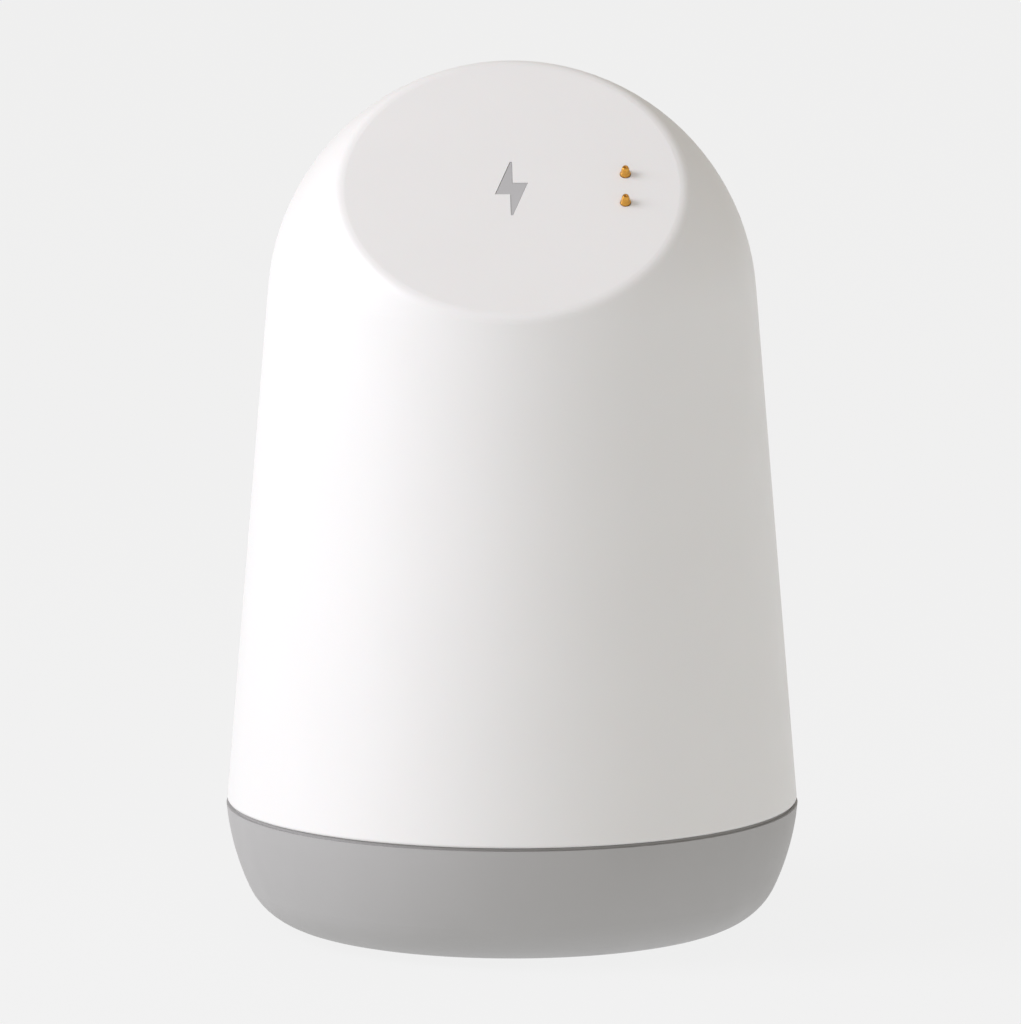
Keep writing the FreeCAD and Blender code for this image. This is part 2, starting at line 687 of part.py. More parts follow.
def bolt_corners(clearance):
    """The charge symbol's outline, drawn in by a clearance. It is the same upside down."""
    tip = d["icon_tip_width"] / 2 - clearance
    half = [
        (-d["icon_tip_offset"] - tip, d["icon_tip_height"] - clearance),
        (tip - d["icon_tip_offset"], d["icon_tip_height"] - clearance),
        (d["icon_notch"] - clearance, d["icon_step"] - clearance),
        (d["icon_half_width"] - 2 * clearance, d["icon_step"] - clearance),
    ]
    corners = half + [(-x, -y) for x, y in half]
    return [(d["icon_u"] + x, d["icon_v"] + y) for x, y in corners]


def shell_solid(body, inset):
    """The shell's form, inset from its outside: a cone that runs tangent into a dome, cut by the face."""
    radius = d["dome_radius"] - inset
    shoulder_z = d["dome_height"] + radius * sine(shell_draft)
    foot = shell_foot_radius - inset / cosine(shell_draft)
    profile = outline(
        sketch_on(body, "XZ_Plane", "shell_profile"),
        [
            line_to(0, shell_foot_height),
            line_to(foot, shell_foot_height),
            line_to(radius * cosine(shell_draft), shoulder_z),
            arc_to(0, d["dome_height"] + radius, (0, d["dome_height"]), 1, "y"),
        ],
    )
    revolve(body, profile, "shell_turned")
    reach = BIG_CUT * d["dome_radius"]
    plane = shell_face_sketch(body, "face_plane", -inset)
    pocket(body, circle(plane, 0, 0, reach), reach, "face_cut", forward=True)


def shell_blank(body):
    """The hollow shell, with one wall thickness all over."""
    cavity = new_body("shell_cavity", is_node=False)
    shell_solid(cavity, d["shell_wall"])
    shell_solid(body, Size(0, "0"))
    hollow = body.newObject("PartDesign::Boolean", "shell_hollow")
    hollow.Type = "Cut"
    hollow.setObjects([cavity])
    body.Tip = hollow
    doc.recompute()


def shell_openings(body):
    """The holes and recesses of the face, and the skirt that fits over the cup's tongue."""
    skirt = circle(level_sketch(body, "skirt_plan", shell_foot_height), 0, 0, skirt_radius)
    pocket(body, skirt, d["skirt_height"], "skirt", forward=True)
    holes = shell_face_sketch(body, "pin_hole_plan")
    for v in (d["contact_pitch"] / 2, -d["contact_pitch"] / 2):
        circle(holes, contact_offset, v, d["plunger_radius"] + d["plunger_hole_clearance"])
    pocket(body, holes, d["shell_wall"] + d["block_gap"], "pin_holes")
    symbol = polygon(shell_face_sketch(body, "charge_symbol_plan"), bolt_corners(0))
    pocket(body, symbol, d["icon_recess"], "charge_symbol_recess")


def shell_bosses(body):
    """Three webbed bosses for the case screws, and three short bosses behind the face."""
    web_foot = joint_height + d["web_lift"]
    inner_wall = shell_side(web_foot) - d["shell_wall"] / cosine(shell_draft)
    web_end = (inner_wall + shell_side(joint_height + d["boss_height"])) / 2
    half = d["web_thickness"] / 2
    web = rectangle(level_sketch(body, "web_plan", web_foot), -half, half, -web_end, -post_circle)
    web_pad = pad(body, web, d["boss_height"] - d["web_lift"], "web")
    boss = circle(level_sketch(body, "boss_plan", joint_height), 0, -post_circle, boss_radius)
    boss_pad = pad(body, boss, d["boss_height"], "boss")
    pilot = circle(level_sketch(body, "boss_pilot_plan", joint_height), 0, -post_circle, case_pilot_radius)
    pilot_cut = pocket(body, pilot, d["boss_height"] - d["boss_blind"], "boss_pilot", forward=True)
    ring = body.newObject("PartDesign::PolarPattern", "boss_ring")
    ring.Originals = [web_pad, boss_pad, pilot_cut]
    ring.Axis = (next(item for item in body.Origin.OriginFeatures if item.Role == "Z_Axis"), [""])
    ring.Angle = FULL_TURN
    ring.Occurrences = len(SCREW_ANGLES)
    body.Tip = ring
    doc.recompute()
    places = round_places(face_boss_circle, FACE_SCREW_ANGLES)
    stub_plan = shell_face_sketch(body, "face_boss_plan", -d["shell_wall"])
    stubs = circles(stub_plan, places, face_boss_radius)
    pad(body, stubs, d["face_boss_height"], "face_bosses", back=True)
    pilots = shell_face_sketch(body, "face_pilot_plan", face_boss_end)
    circles(pilots, places, board_pilot_radius)
    pocket(body, pilots, d["face_pilot_depth"], "face_pilots", forward=True)


def make_outer_shell():
    body = new_body("outer_shell")
    shell_blank(body)
    shell_openings(body)
    shell_bosses(body)
    round_edges(body, d["face_edge_round"], "face_edge", lambda edge: is_ring(edge, d["face_radius"]))
    round_edges(
        body,
        d["shell_edge_round"],
        "lower_edge",
        lambda edge: is_ring(edge, shell_foot_radius, shell_foot_height),
    )


def make_charge_icon():
    body = face_body("charge_icon", w=-d["icon_recess"])
    symbol = polygon(level_sketch(body, "symbol_plan"), bolt_corners(d["icon_clearance"]))
    pad(body, symbol, d["icon_recess"] - d["icon_sink"], "symbol")


def cup_blank(body):
    """The cup's wall, floor and tongue, turned in one piece."""
    corner = (cup_floor_radius, cup_corner_height)
    side = (side_x, side_z)
    sweep = d["cup_corner_sweep"]
    outer_x, outer_z = cup_corner(sweep, 0)
    inner_x, inner_z = cup_corner(sweep, d["cup_wall"])
    inner_rim = cup_side(d["rim_height"], d["cup_wall"])
    ledge_radius = d["seam_radius"] - d["ledge_inset"]
    ledge_top = shell_foot_height - d["ledge_clearance"]
    tongue_outer = skirt_radius - d["tongue_clearance"]
    tongue_top = shell_foot_height + d["skirt_height"] - d["tongue_head_room"]
    profile = outline(
        sketch_on(body, "XZ_Plane", "cup_profile"),
        [
            line_to(0, d["stand_height"]),
            line_to(cup_floor_radius, d["stand_height"]),
            arc_to(outer_x, outer_z, corner, 1, "y"),
            arc_to(d["seam_radius"], d["rim_height"], side, 1, "x"),
            line_to(ledge_radius, d["rim_height"]),
            line_to(ledge_radius, ledge_top),
            line_to(tongue_outer, ledge_top),
            line_to(tongue_outer, tongue_top),
            line_to(inner_rim, tongue_top),
            line_to(inner_rim, d["rim_height"]),
            arc_to(inner_x, inner_z, side, -1, "y"),
            arc_to(cup_floor_radius, cup_floor_height, corner, -1, "y"),
            line_to(0, cup_floor_height),
        ],
    )
    revolve(body, profile, "cup_turned")


def cup_port(body):
    """The thick block behind the port, the recess for a plug's grip and the socket's opening."""
    middle = d["cup_wall"] / 2
    low_rise = port_block_radius - cup_floor_radius
    reach = d["cup_corner_radius"] - middle
    low = cup_corner_height - root(reach * reach - low_rise * low_rise)
    junction_x, junction_z = cup_corner(d["cup_corner_sweep"], middle)
    half_height = (junction_z + port_block_top) / 2
    section = polygon(
        sketch_on(body, "YZ_Plane", "port_block_section"),
        [
            (port_block_radius, low),
            (junction_x, junction_z),
            (cup_side(half_height, middle), half_height),
            (cup_side(port_block_top, middle), port_block_top),
            (port_block_radius, port_block_top),
        ],
    )
    revolve(body, section, "port_block", d["port_block_sweep"], centred=True)
    outside = 2 * d["seam_radius"] - port_floor
    recess = sketch_on(body, "XZ_Plane", "port_recess_plan", (0, 0, -port_floor))
    stadium(recess, d["port_width"] / 2, d["port_height"] / 2, socket_centre)
    pocket(body, recess, outside, "port_recess")
    opening = sketch_on(body, "XZ_Plane", "socket_opening_plan", (0, 0, -port_floor))
    clearance = d["socket_clearance"]
    stadium(
        opening,
        d["socket_width"] / 2 + clearance,
        d["socket_height"] / 2 + clearance,
        socket_centre,
    )
    pocket(body, opening, port_floor - board_shoulder, "socket_opening", forward=True)
    round_edges(body, d["port_edge_round"], "port_edge", is_port_mouth)


def is_port_mouth(edge):
    """Whether an edge is where the port recess meets the cup's outside."""
    middle = edge.CenterOfMass
    half_width = float(d["port_width"]) / 2 + EPSILON
    half_height = float(d["port_height"]) / 2 + EPSILON
    if abs(middle.x) > half_width or abs(middle.z - float(socket_centre)) > half_height:
        return False
    return middle.y > float(port_floor) + EPSILON and not isinstance(edge.Curve, Part.Line)


def cup_posts(body):
    """Three posts for the case screws, the board's standoffs and the rib behind the counterweight."""
    places = round_places(post_circle, SCREW_ANGLES)
    start = d["stand_height"] + d["pad_recess"]
    posts = circles(level_sketch(body, "post_plan", start), places, post_radius)
    pad(body, posts, joint_height - start, "posts")
    standoffs = circles(level_sketch(body, "standoff_plan", start), BOARD_SCREWS, standoff_radius)
    pad(body, standoffs, board_underside - start, "standoffs")
    rib = rectangle(
        level_sketch(body, "rib_plan", start),
        -d["rib_length"] / 2,
        d["rib_length"] / 2,
        rib_front,
        rib_front + d["rib_thickness"],
    )
    pad(body, rib, cup_floor_height + d["rib_height"] - start, "rib")


def cup_holes(body):
    """The foot pad's recess, the wells and holes of the case screws and the standoffs' pilot holes."""
    recess = circle(level_sketch(body, "pad_recess_plan"), 0, 0, pad_radius + d["pad_clearance"])
    pocket(body, recess, d["stand_height"] + d["pad_recess"], "pad_seat", forward=True)
    places = round_places(post_circle, SCREW_ANGLES)
    wells = circles(level_sketch(body, "well_plan"), places, well_radius)
    pocket(body, wells, screw_seat_height, "screw_wells", forward=True)
    holes = circles(
        level_sketch(body, "screw_hole_plan", screw_seat_height),
        places,
        d["case_screw_radius"] + d["shank_clearance"],
    )
    pocket(body, holes, d["case_seat"], "screw_holes", forward=True)
    pilots = circles(
        level_sketch(body, "standoff_pilot_plan", board_underside),
        BOARD_SCREWS,
        board_pilot_radius,
    )
    floor = d["stand_height"] + d["pad_recess"] + d["standoff_blind"]
    pocket(body, pilots, board_underside - floor, "standoff_pilots")


def make_base_cup():
    body = new_body("base_cup")
    cup_blank(body)
    cup_port(body)
    cup_posts(body)
    cup_holes(body)


def make_foot_pad():
    """A round pad with a few tread grooves around its underside."""
    body = new_body("foot_pad")
    disc = circle(level_sketch(body, "pad_plan"), 0, 0, pad_radius)
    pad(body, disc, d["stand_height"] + d["pad_recess"], "pad_disc")
    treads = level_sketch(body, "tread_plan")
    for index in range(TREAD_GROOVES):
        inner = d["tread_inner"] + index * d["tread_pitch"]
        circle(treads, 0, 0, inner)
        circle(treads, 0, 0, inner + d["tread_width"])
    pocket(body, treads, d["tread_depth"], "treads", forward=True)
    round_edges(body, d["pad_edge_round"], "pad_edge", lambda edge: is_ring(edge, pad_radius, 0))


# Counterweight.


def d_outline(sketch, radius):
    """A disc cut straight across behind its middle."""
    chord = d["weight_chord"]
    half = root(radius * radius - chord * chord)
    return outline(
        sketch,
        [
            line_to(-half, chord),
            arc_to(0, -radius, (0, 0), 1, "y"),
            arc_to(half, chord, (0, 0), 1, "x"),
        ],
    )


def weight_slab(label, radius, height, base):
    """A slab of the counterweight's outline with a hole for the front post."""
    body = new_body(label)
    plan = d_outline(level_sketch(body, f"{label}_plan", base), radius)
    circle(plan, 0, -post_circle, post_radius + d["weight_clearance"])
    pad(body, plan, height, f"{label}_slab")
    return body


def make_counterweight():
    body = weight_slab("counterweight", weight_radius, d["weight_height"], weight_underside)
    chamfer_edges(
        body,
        d["weight_chamfer"],
        "weight_foot",
        lambda edge: is_ring(edge, weight_radius, weight_underside),
    )


def make_weight_tape():
    tape_radius = cup_floor_radius - d["tape_margin"]
    weight_slab("weight_tape", tape_radius, d["tape_thickness"], cup_floor_height)


# Screws.


def make_screw(label, radius, length, head_radius, head_height):
    """A self-tapping pan-head screw that points down, with the underside of its head at its origin."""
    body = new_body(label, is_node=False)
    core = radius - d["thread_depth"]
    threads = int((float(length) - float(radius)) / float(d["thread_pitch"]))
    arm = head_radius * HEAD_FLAT
    half = d["drive_width"] / 2
    corners = [(0, head_height), (arm, head_height), (head_radius, head_height * HEAD_RIM)]
    corners += [(head_radius, 0), (core, 0)]
    top = length - core - threads * d["thread_pitch"]
    corners.append((core, -top))
    for turn in range(threads):
        start = top + turn * d["thread_pitch"]
        corners.append((radius, -(start + d["thread_pitch"] * 0.5)))
        corners.append((core, -(start + d["thread_pitch"])))
    corners.append((0, -length))
    revolve(body, polygon(sketch_on(body, "XZ_Plane", "screw_profile"), corners), "screw_turned")
    cross = polygon(
        level_sketch(body, "drive_plan", head_height),
        [
            (half, half), (arm, half), (arm, -half), (half, -half), (half, -arm), (-half, -arm),
            (-half, -half), (-arm, -half), (-arm, half), (-half, half), (-half, arm), (half, arm),
        ],
    )
    pocket(body, cross, d["drive_depth"], "drive_recess")
    return body


def upended(pattern, label):
    """A copy of a screw pattern that points up."""
    link = doc.addObject("Part::Mirroring", label)
    link.Source = pattern
    link.Normal = FreeCAD.Vector(0, 0, 1)
    return link


def make_screws():
    case_screw = make_screw(
        "case_screw",
        d["case_screw_radius"],
        d["case_screw_length"],
        case_head_radius,
        d["case_head_height"],
    )
    board_sizes = (board_head_radius, d["board_head_height"])
    thread = d["board_screw_radius"]
    board_screw = make_screw("board_screw", thread, d["board_screw_length"], *board_sizes)
    face_screw = make_screw("face_screw", thread, d["face_screw_length"], *board_sizes)
    places = round_places(post_circle, SCREW_ANGLES)
    case_screw_up = upended(case_screw, "case_screw_up")
    copies("case_screws", case_screw_up, [(x, y, screw_seat_height) for x, y in places])
    copies("main_board_screws", board_screw, [(x, y, board_top) for x, y in BOARD_SCREWS])
    places = round_places(face_boss_circle, FACE_SCREW_ANGLES)
    copies(
        "contact_board_screws",
        upended(face_screw, "face_screw_up"),
        [on_face(u, v, contact_board_back) for u, v in places],
        d["face_tilt"],
    )


# Main board and what is on it.


def make_main_board():
    body = new_body("main_board")
    half = d["board_half_width"]
    tab = d["board_tab_half_width"]
    plan = polygon(
        level_sketch(body, "board_plan", board_underside),
        [
            (-half, board_front), (half, board_front), (half, board_shoulder),
            (tab, board_shoulder), (tab, board_rear), (-tab, board_rear),
            (-tab, board_shoulder), (-half, board_shoulder),
        ],
    )
    circles(plan, BOARD_SCREWS, d["board_screw_radius"] + d["shank_clearance"])
    pad(body, plan, d["board_thickness"], "board")
    slots = level_sketch(body, "leg_slot_plan", board_top)
    outer = d["socket_width"] / 2 + d["leg_clearance"]
    inner = d["socket_width"] / 2 - d["socket_wall"] - d["leg_clearance"]
    for setback in (d["leg_front"], d["leg_rear"]):
        middle = port_floor - setback
        reach = d["leg_width"] / 2 + d["leg_clearance"]
        rectangle(slots, inner, outer, middle - reach, middle + reach)
        rectangle(slots, -outer, -inner, middle - reach, middle + reach)
    pocket(body, slots, d["board_thickness"], "leg_slots")


def socket_body(label):
    """A body whose origin is the middle of the USB-C socket's mouth."""
    return place(new_body(label), (0, port_floor, socket_centre))


def make_usb_socket_shell():
    """The socket's drawn metal tube with its four legs."""
    body = socket_body("usb_socket_shell")
    half_width = d["socket_width"] / 2
    half_height = d["socket_height"] / 2
    tube = sketch_on(body, "XZ_Plane", "tube_section")
    stadium(tube, half_width, half_height)
    stadium(tube, half_width - d["socket_wall"], half_height - d["socket_wall"])
    pad(body, tube, d["socket_length"], "tube")
    foot = half_height + d["board_thickness"] + d["leg_reach"]
    for setback, name in ((d["leg_front"], "front_legs"), (d["leg_rear"], "rear_legs")):
        start = setback - d["leg_width"] / 2
        legs = sketch_on(body, "XZ_Plane", f"{name}_section", (0, 0, start))
        rectangle(legs, half_width - d["socket_wall"], half_width, -foot, 0)
        rectangle(legs, -half_width, d["socket_wall"] - half_width, -foot, 0)
        pad(body, legs, d["leg_width"], name)


def make_usb_socket_insulator():
    """The black insulator: a plug that closes the tube's rear, and the tongue."""
    body = socket_body("usb_socket_insulator")
    inset = d["socket_wall"] + d["socket_play"]
    rear = sketch_on(body, "XZ_Plane", "rear_section", (0, 0, d["socket_length"] - d["socket_plug_depth"]))
    stadium(rear, d["socket_width"] / 2 - inset, d["socket_height"] / 2 - inset)
    pad(body, rear, d["socket_plug_depth"], "rear")
    tongue = sketch_on(body, "XZ_Plane", "tongue_section", (0, 0, d["tongue_setback"]))
    half = d["tongue_width"] / 2
    rectangle(tongue, -half, half, -d["tongue_thickness"] / 2, d["tongue_thickness"] / 2)
    pad(body, tongue, d["socket_length"] - d["tongue_setback"] - d["socket_plug_depth"], "tongue")


def make_usb_socket_terminals():
    """Twelve gold terminals on each side of the tongue."""
    body = socket_body("usb_socket_terminals")
    start = d["socket_length"] - d["socket_plug_depth"] - d["terminal_length"]
    section = sketch_on(body, "XZ_Plane", "terminal_sections", (0, 0, start))
    low = d["tongue_thickness"] / 2
    high = low + d["terminal_thickness"]
    for index in range(TERMINALS_A_SIDE):
        middle = (index - (TERMINALS_A_SIDE - 1) / 2) * d["terminal_pitch"]
        left = middle - d["terminal_width"] / 2
        right = middle + d["terminal_width"] / 2
        rectangle(section, left, right, low, high)
        rectangle(section, left, right, -high, -low)
    pad(body, section, d["terminal_length"], "terminals")


# Each part's name, the X and Y of its middle, and its width, depth and height.
BOARD_PARTS = (
    ("charge_controller", 3.6, 12.9, d["controller_width"], d["controller_depth"], d["controller_height"]),
    ("power_inductor", -4.4, 14.4, d["inductor_width"], d["inductor_width"], d["inductor_height"]),
    ("surge_protector", -7.8, 13.7, d["protector_width"], d["protector_depth"], d["protector_height"]),
)
# X and Y of the middles of the small two-ended parts.
CAPACITOR_PLACES = ((0.0, 16.6), (2.1, 16.6), (4.2, 16.6), (8.3, 12.4))
RESISTOR_PLACES = ((0.0, 8.0), (1.6, 8.0), (3.2, 8.0), (0.0, 10.4))


def make_board_parts():
    """The parts soldered to the main board, standing on its upper face."""
    for label, x, y, width, depth, height in BOARD_PARTS:
        solid(
            "Part::Box",
            label,
            {"Length": width, "Width": depth, "Height": height},
            (x - width / 2, y - depth / 2, board_top),
        )
    make_chips("chip_capacitors", CAPACITOR_PLACES, d["capacitor_height"])
    make_chips("chip_resistors", RESISTOR_PLACES, d["resistor_height"])


def make_chips(label, places, height):
    """A node of small two-ended parts."""
    body = new_body(label)
    plan = level_sketch(body, f"{label}_plan", board_top)
    half_width = d["chip_width"] / 2
    half_length = d["chip_length"] / 2
    for x, y in places:
        rectangle(plan, x - half_width, x + half_width, y - half_length, y + half_length)
    pad(body, plan, height, label)


# Contact group behind the face.


def make_magnet_carrier():
    """A plate with two magnet cups, a window for the pin block and three screw holes."""
    body = face_body("magnet_carrier")
    magnets = [(magnet_u, d["magnet_v"]), (magnet_u, -d["magnet_v"])]
    screws = round_places(face_boss_circle, FACE_SCREW_ANGLES)
    plate = circle(level_sketch(body, "plate_plan", carrier_back), 0, 0, carrier_radius)
    circles(plate, screws, d["board_screw_radius"] + d["shank_clearance"])
    half_width = block_half_width + d["block_clearance"]
    half_height = block_half_height + d["block_clearance"]
    middle = contact_offset
    rectangle(plate, middle - half_width, middle + half_width, -half_height, half_height)
    pad(body, plate, d["carrier_plate"], "plate")
    cups = circles(level_sketch(body, "magnet_cup_plan", carrier_back), magnets, magnet_cup_radius)
    front = -(d["shell_wall"] + d["magnet_gap"])
    pad(body, cups, front - carrier_back, "magnet_cups")
    wells = circles(level_sketch(body, "magnet_well_plan", magnet_back), magnets, magnet_well_radius)
    pocket(body, wells, d["magnet_thickness"], "magnet_wells", forward=True)


def is_magnet_rim(edge):
    return is_ring(edge, d["magnet_radius"])


def make_magnets():
    """Two disc magnets with opposite poles outwards, so that the cleaner docks one way round."""
    for label, v in (("magnet_upper", d["magnet_v"]), ("magnet_lower", -d["magnet_v"])):
        body = face_body(label, magnet_u, v, magnet_back)
        disc = circle(level_sketch(body, f"{label}_plan"), 0, 0, d["magnet_radius"])
        pad(body, disc, d["magnet_thickness"], f"{label}_disc")
        chamfer_edges(body, d["magnet_edge_break"], f"{label}_edge", is_magnet_rim)


def make_contact_board():
    body = face_body("contact_board")
    plan = level_sketch(body, "contact_board_plan", contact_board_back)
    circle(plan, 0, 0, contact_board_radius)
    screws = round_places(face_boss_circle, FACE_SCREW_ANGLES)
    circles(plan, screws, d["board_screw_radius"] + d["shank_clearance"])
    tail_hole = d["tail_radius"] + d["leg_clearance"]
    for v in (d["contact_pitch"] / 2, -d["contact_pitch"] / 2):
        circle(plan, contact_offset, v, tail_hole)
    pad(body, plan, d["contact_board_thickness"], "contact_board_disc")


def make_pin_block():
    """The insulating block that holds both contact pins upright behind the face."""
    body = face_body("pin_block", contact_offset, 0, carrier_back)
    plan = level_sketch(body, "block_plan")
    rectangle(plan, -block_half_width, block_half_width, -block_half_height, block_half_height)
    for v in (d["contact_pitch"] / 2, -d["contact_pitch"] / 2):
        circle(plan, 0, v, pin_hole_radius)
    pad(body, plan, d["block_depth"], "block")


shoulder_w = block_front - d["neck_length"]  # where the wide bore of a barrel begins
bore_floor_w = carrier_back + d["barrel_end"]
piston_top_w = shoulder_w - d["piston_gap"]
piston_end_w = piston_top_w - d["piston_length"]


def make_pin_barrel(name, v):
    """A turned barrel: a neck for the plunger, a wide bore for the spring and a solder tail."""
    body = face_body(f"pin_barrel_{name}", contact_offset, v)
    neck = d["plunger_radius"] + d["plunger_play"]
    tail_end = contact_board_back - d["tail_reach"]
    profile = polygon(
        sketch_on(body, "XZ_Plane", "barrel_profile"),
        [
            (neck, block_front), (barrel_radius, block_front), (barrel_radius, carrier_back),
            (d["tail_radius"], carrier_back), (d["tail_radius"], tail_end), (0, tail_end),
            (0, bore_floor_w), (barrel_bore, bore_floor_w), (barrel_bore, shoulder_w),
            (neck, shoulder_w),
        ],
    )
    revolve(body, profile, "barrel_turned")


def make_pin_plunger(name, v):
    """A plunger with a tapered nose and a centre mark in its blunt tip. Its piston keeps it in the barrel."""
    body = face_body(f"pin_plunger_{name}", contact_offset, v)
    piston = barrel_bore - d["plunger_play"]
    shank = d["plunger_radius"]
    reach = d["plunger_reach"]
    profile = polygon(
        sketch_on(body, "XZ_Plane", "plunger_profile"),
        [
            (0, piston_end_w), (piston, piston_end_w), (piston, piston_top_w), (shank, piston_top_w),
            (shank, d["nose_shoulder"]), (nose_radius, reach - d["nose_drop"]),
            (nose_radius - d["tip_step"], reach), (d["dimple_radius"], reach), (0, reach - d["dimple_depth"]),
        ],
    )
    revolve(body, profile, "plunger_turned")


def make_pin_spring(name, v):
    """The coil spring between the piston and the barrel's floor."""
    room = piston_end_w - bore_floor_w
    height = room - 2 * d["spring_wire"]
    coil = solid(
        "Part::Helix",
        f"coil_{name}",
        {"Pitch": height / d["spring_turns"], "Height": height, "Radius": spring_radius},
        is_node=False,
    )
    section = doc.addObject("Part::Circle", f"wire_section_{name}")
    bind(section, "Radius", d["spring_wire"])
    section.Placement.Rotation = FreeCAD.Rotation(FreeCAD.Vector(1, 0, 0), 90)
    bind(section, ".Placement.Base.x", spring_radius)
    spring = doc.addObject("Part::Sweep", f"pin_spring_{name}")
    spring.Label = f"pin_spring_{name}"
    spring.Sections = [section]
    spring.Spine = (coil, ["Edge1"])
    spring.Solid = True
    spring.Frenet = True
    place(spring, on_face(contact_offset, v, bore_floor_w + d["spring_wire"]), d["face_tilt"])
    nodes.append(spring)


def make_contact_pins():
    for name, v in (("upper", d["contact_pitch"] / 2), ("lower", -d["contact_pitch"] / 2)):
        make_pin_barrel(name, v)
        make_pin_plunger(name, v)
        make_pin_spring(name, v)


# Wire harness between the two boards.

TERMINALS = (d["post_pitch"] / 2, -d["post_pitch"] / 2)
# Points of the wires' hanging stretch: how far across, back and up each is, as shares of the way between
# the plugs.
WIRE_SHARES = ((0.1, 0.72, 0.66), (0.35, 0.9, 0.42), (0.85, 1.02, 0.26), (1.0, 1.0, 0.12))
plug_lift = d["header_floor"] + d["header_clearance"]


def post_squares(sketch, play):
    """A square around each terminal post, larger by the play."""
    half = d["terminal_post"] + play
    for x in TERMINALS:
        rectangle(sketch, x - half, x + half, -half, half)
    return sketch


def make_header(name, position, tilt, side):
    """The open box that is soldered to a board."""
    body = place(new_body(f"{name}_header"), position, tilt)
    hangs = side < 0
    half_width = d["plug_half_width"] + d["header_clearance"]
    half_depth = d["plug_half_depth"] + d["header_clearance"]
    wall = d["header_wall"]
    plan = level_sketch(body, f"{name}_header_plan")
    rectangle(plan, -half_width - wall, half_width + wall, -half_depth - wall, half_depth + wall)
    pad(body, plan, d["header_height"], f"{name}_header_block", back=hangs)
    cavity = level_sketch(body, f"{name}_cavity_plan", side * d["header_floor"])
    rectangle(cavity, -half_width, half_width, -half_depth, half_depth)
    depth = d["header_height"] - d["header_floor"]
    pocket(body, cavity, depth, f"{name}_cavity", forward=not hangs)
    holes = post_squares(level_sketch(body, f"{name}_post_hole_plan"), 0)
    pocket(body, holes, d["header_floor"], f"{name}_post_holes", forward=not hangs)


def make_header_posts(name, position, tilt, side):
    """The two gold posts that stand through the header's floor."""
    body = place(new_body(f"{name}_header_posts"), position, tilt)
    plan = post_squares(level_sketch(body, f"{name}_posts_plan"), 0)
    pad(body, plan, d["terminal_post_height"], f"{name}_posts", back=side < 0)


def make_plug(name, position, tilt, side):
    """The wire plug, with a cell for each post and a hole for each wire."""
    body = place(new_body(f"{name}_plug"), position, tilt)
    hangs = side < 0
    plan = level_sketch(body, f"{name}_plug_plan", side * plug_lift)
    half_width = d["plug_half_width"]
    half_depth = d["plug_half_depth"]
    rectangle(plan, -half_width, half_width, -half_depth, half_depth)
    pad(body, plan, d["plug_length"], f"{name}_plug_block", back=hangs)
    cells = level_sketch(body, f"{name}_cell_plan", side * plug_lift)
    post_squares(cells, d["terminal_post_play"])
    depth = d["terminal_post_height"] - d["header_floor"]
    pocket(body, cells, depth, f"{name}_cells", forward=not hangs)
    wire_holes = level_sketch(body, f"{name}_wire_hole_plan", side * (plug_lift + d["plug_length"]))
    circles(wire_holes, [(x, 0) for x in TERMINALS], d["wire_radius"] + d["wire_play"])
    pocket(body, wire_holes, d["wire_seat"], f"{name}_wire_holes", forward=hangs)


def make_connector(name, position, tilt=None):
    """A header, its posts and the wire plug in it. It stands on its board along +Z, or hangs behind the
    contact board along -w when it is tilted with the face."""
    side = 1 if tilt is None else -1
    make_header(name, position, tilt, side)
    make_header_posts(name, position, tilt, side)
    make_plug(name, position, tilt, side)


def wire_route(terminal):
    """Points of a wire from the contact board's plug down to the main board's plug."""
    seat = plug_lift + d["plug_length"] - d["wire_seat"]
    upper = on_face(d["upper_header_u"] + terminal, d["upper_header_v"], contact_board_back - seat)
    start = FreeCAD.Vector(*[float(size) for size in upper])
    tilt = math.radians(float(d["face_tilt"]))
    inwards = FreeCAD.Vector(0, math.sin(tilt), -math.cos(tilt))
    lower = (d["lower_header_x"] + terminal, d["lower_header_y"], board_top + seat)
    end = FreeCAD.Vector(*[float(size) for size in lower])
    drop = start.z - end.z
    shift = end.x - start.x
    hanging = [
        FreeCAD.Vector(start.x + across * shift, start.y + (end.y - start.y) * back, end.z + drop * up)
        for across, back, up in WIRE_SHARES
    ]
    return [start, start + inwards * float(d["wire_lead"])] + hanging + [end]


def tube_along(points, radius):
    """A round tube along straight runs joined by tangent arcs as large as the runs allow."""
    edges = []
    at = points[0]
    for before, corner, after in zip(points, points[1:], points[2:]):
        into = (corner - before).normalize()
        out = (after - corner).normalize()
        shorter = min((corner - before).Length, (after - corner).Length)
        setback = ARC_REACH * shorter
        first = corner - into * setback
        last = corner + out * setback
        half_turn = into.getAngle(out) / 2
        chord_middle = (first + last) * 0.5
        sagitta = setback / math.tan(half_turn) * (1 - math.cos(half_turn))
        middle = chord_middle + (corner - chord_middle).normalize() * sagitta
        edges.append(Part.LineSegment(at, first).toShape())
        edges.append(Part.Arc(first, middle, last).toShape())
        at = last
    edges.append(Part.LineSegment(at, points[-1]).toShape())
    wire = Part.Wire(edges)
    start_direction = (points[1] - points[0]).normalize()
    section = Part.Wire([Part.Circle(points[0], start_direction, radius).toShape()])
    tube = wire.makePipeShell([section], True, True)
    expected = math.pi * radius * radius * wire.Length
    if abs(tube.Volume - expected) > VOLUME_MATCH * expected:
        raise RuntimeError(f"a wire's volume is {tube.Volume}, and {expected} was expected")
    return tube


def make_wires():
    """The supply and ground wires, side by side from one plug to the other."""
    for label, terminal in zip(("supply_wire", "ground_wire"), TERMINALS):
        wire = doc.addObject("Part::Feature", label)
        wire.Label = label
        wire.Shape = tube_along(wire_route(terminal), float(d["wire_radius"]))
        nodes.append(wire)


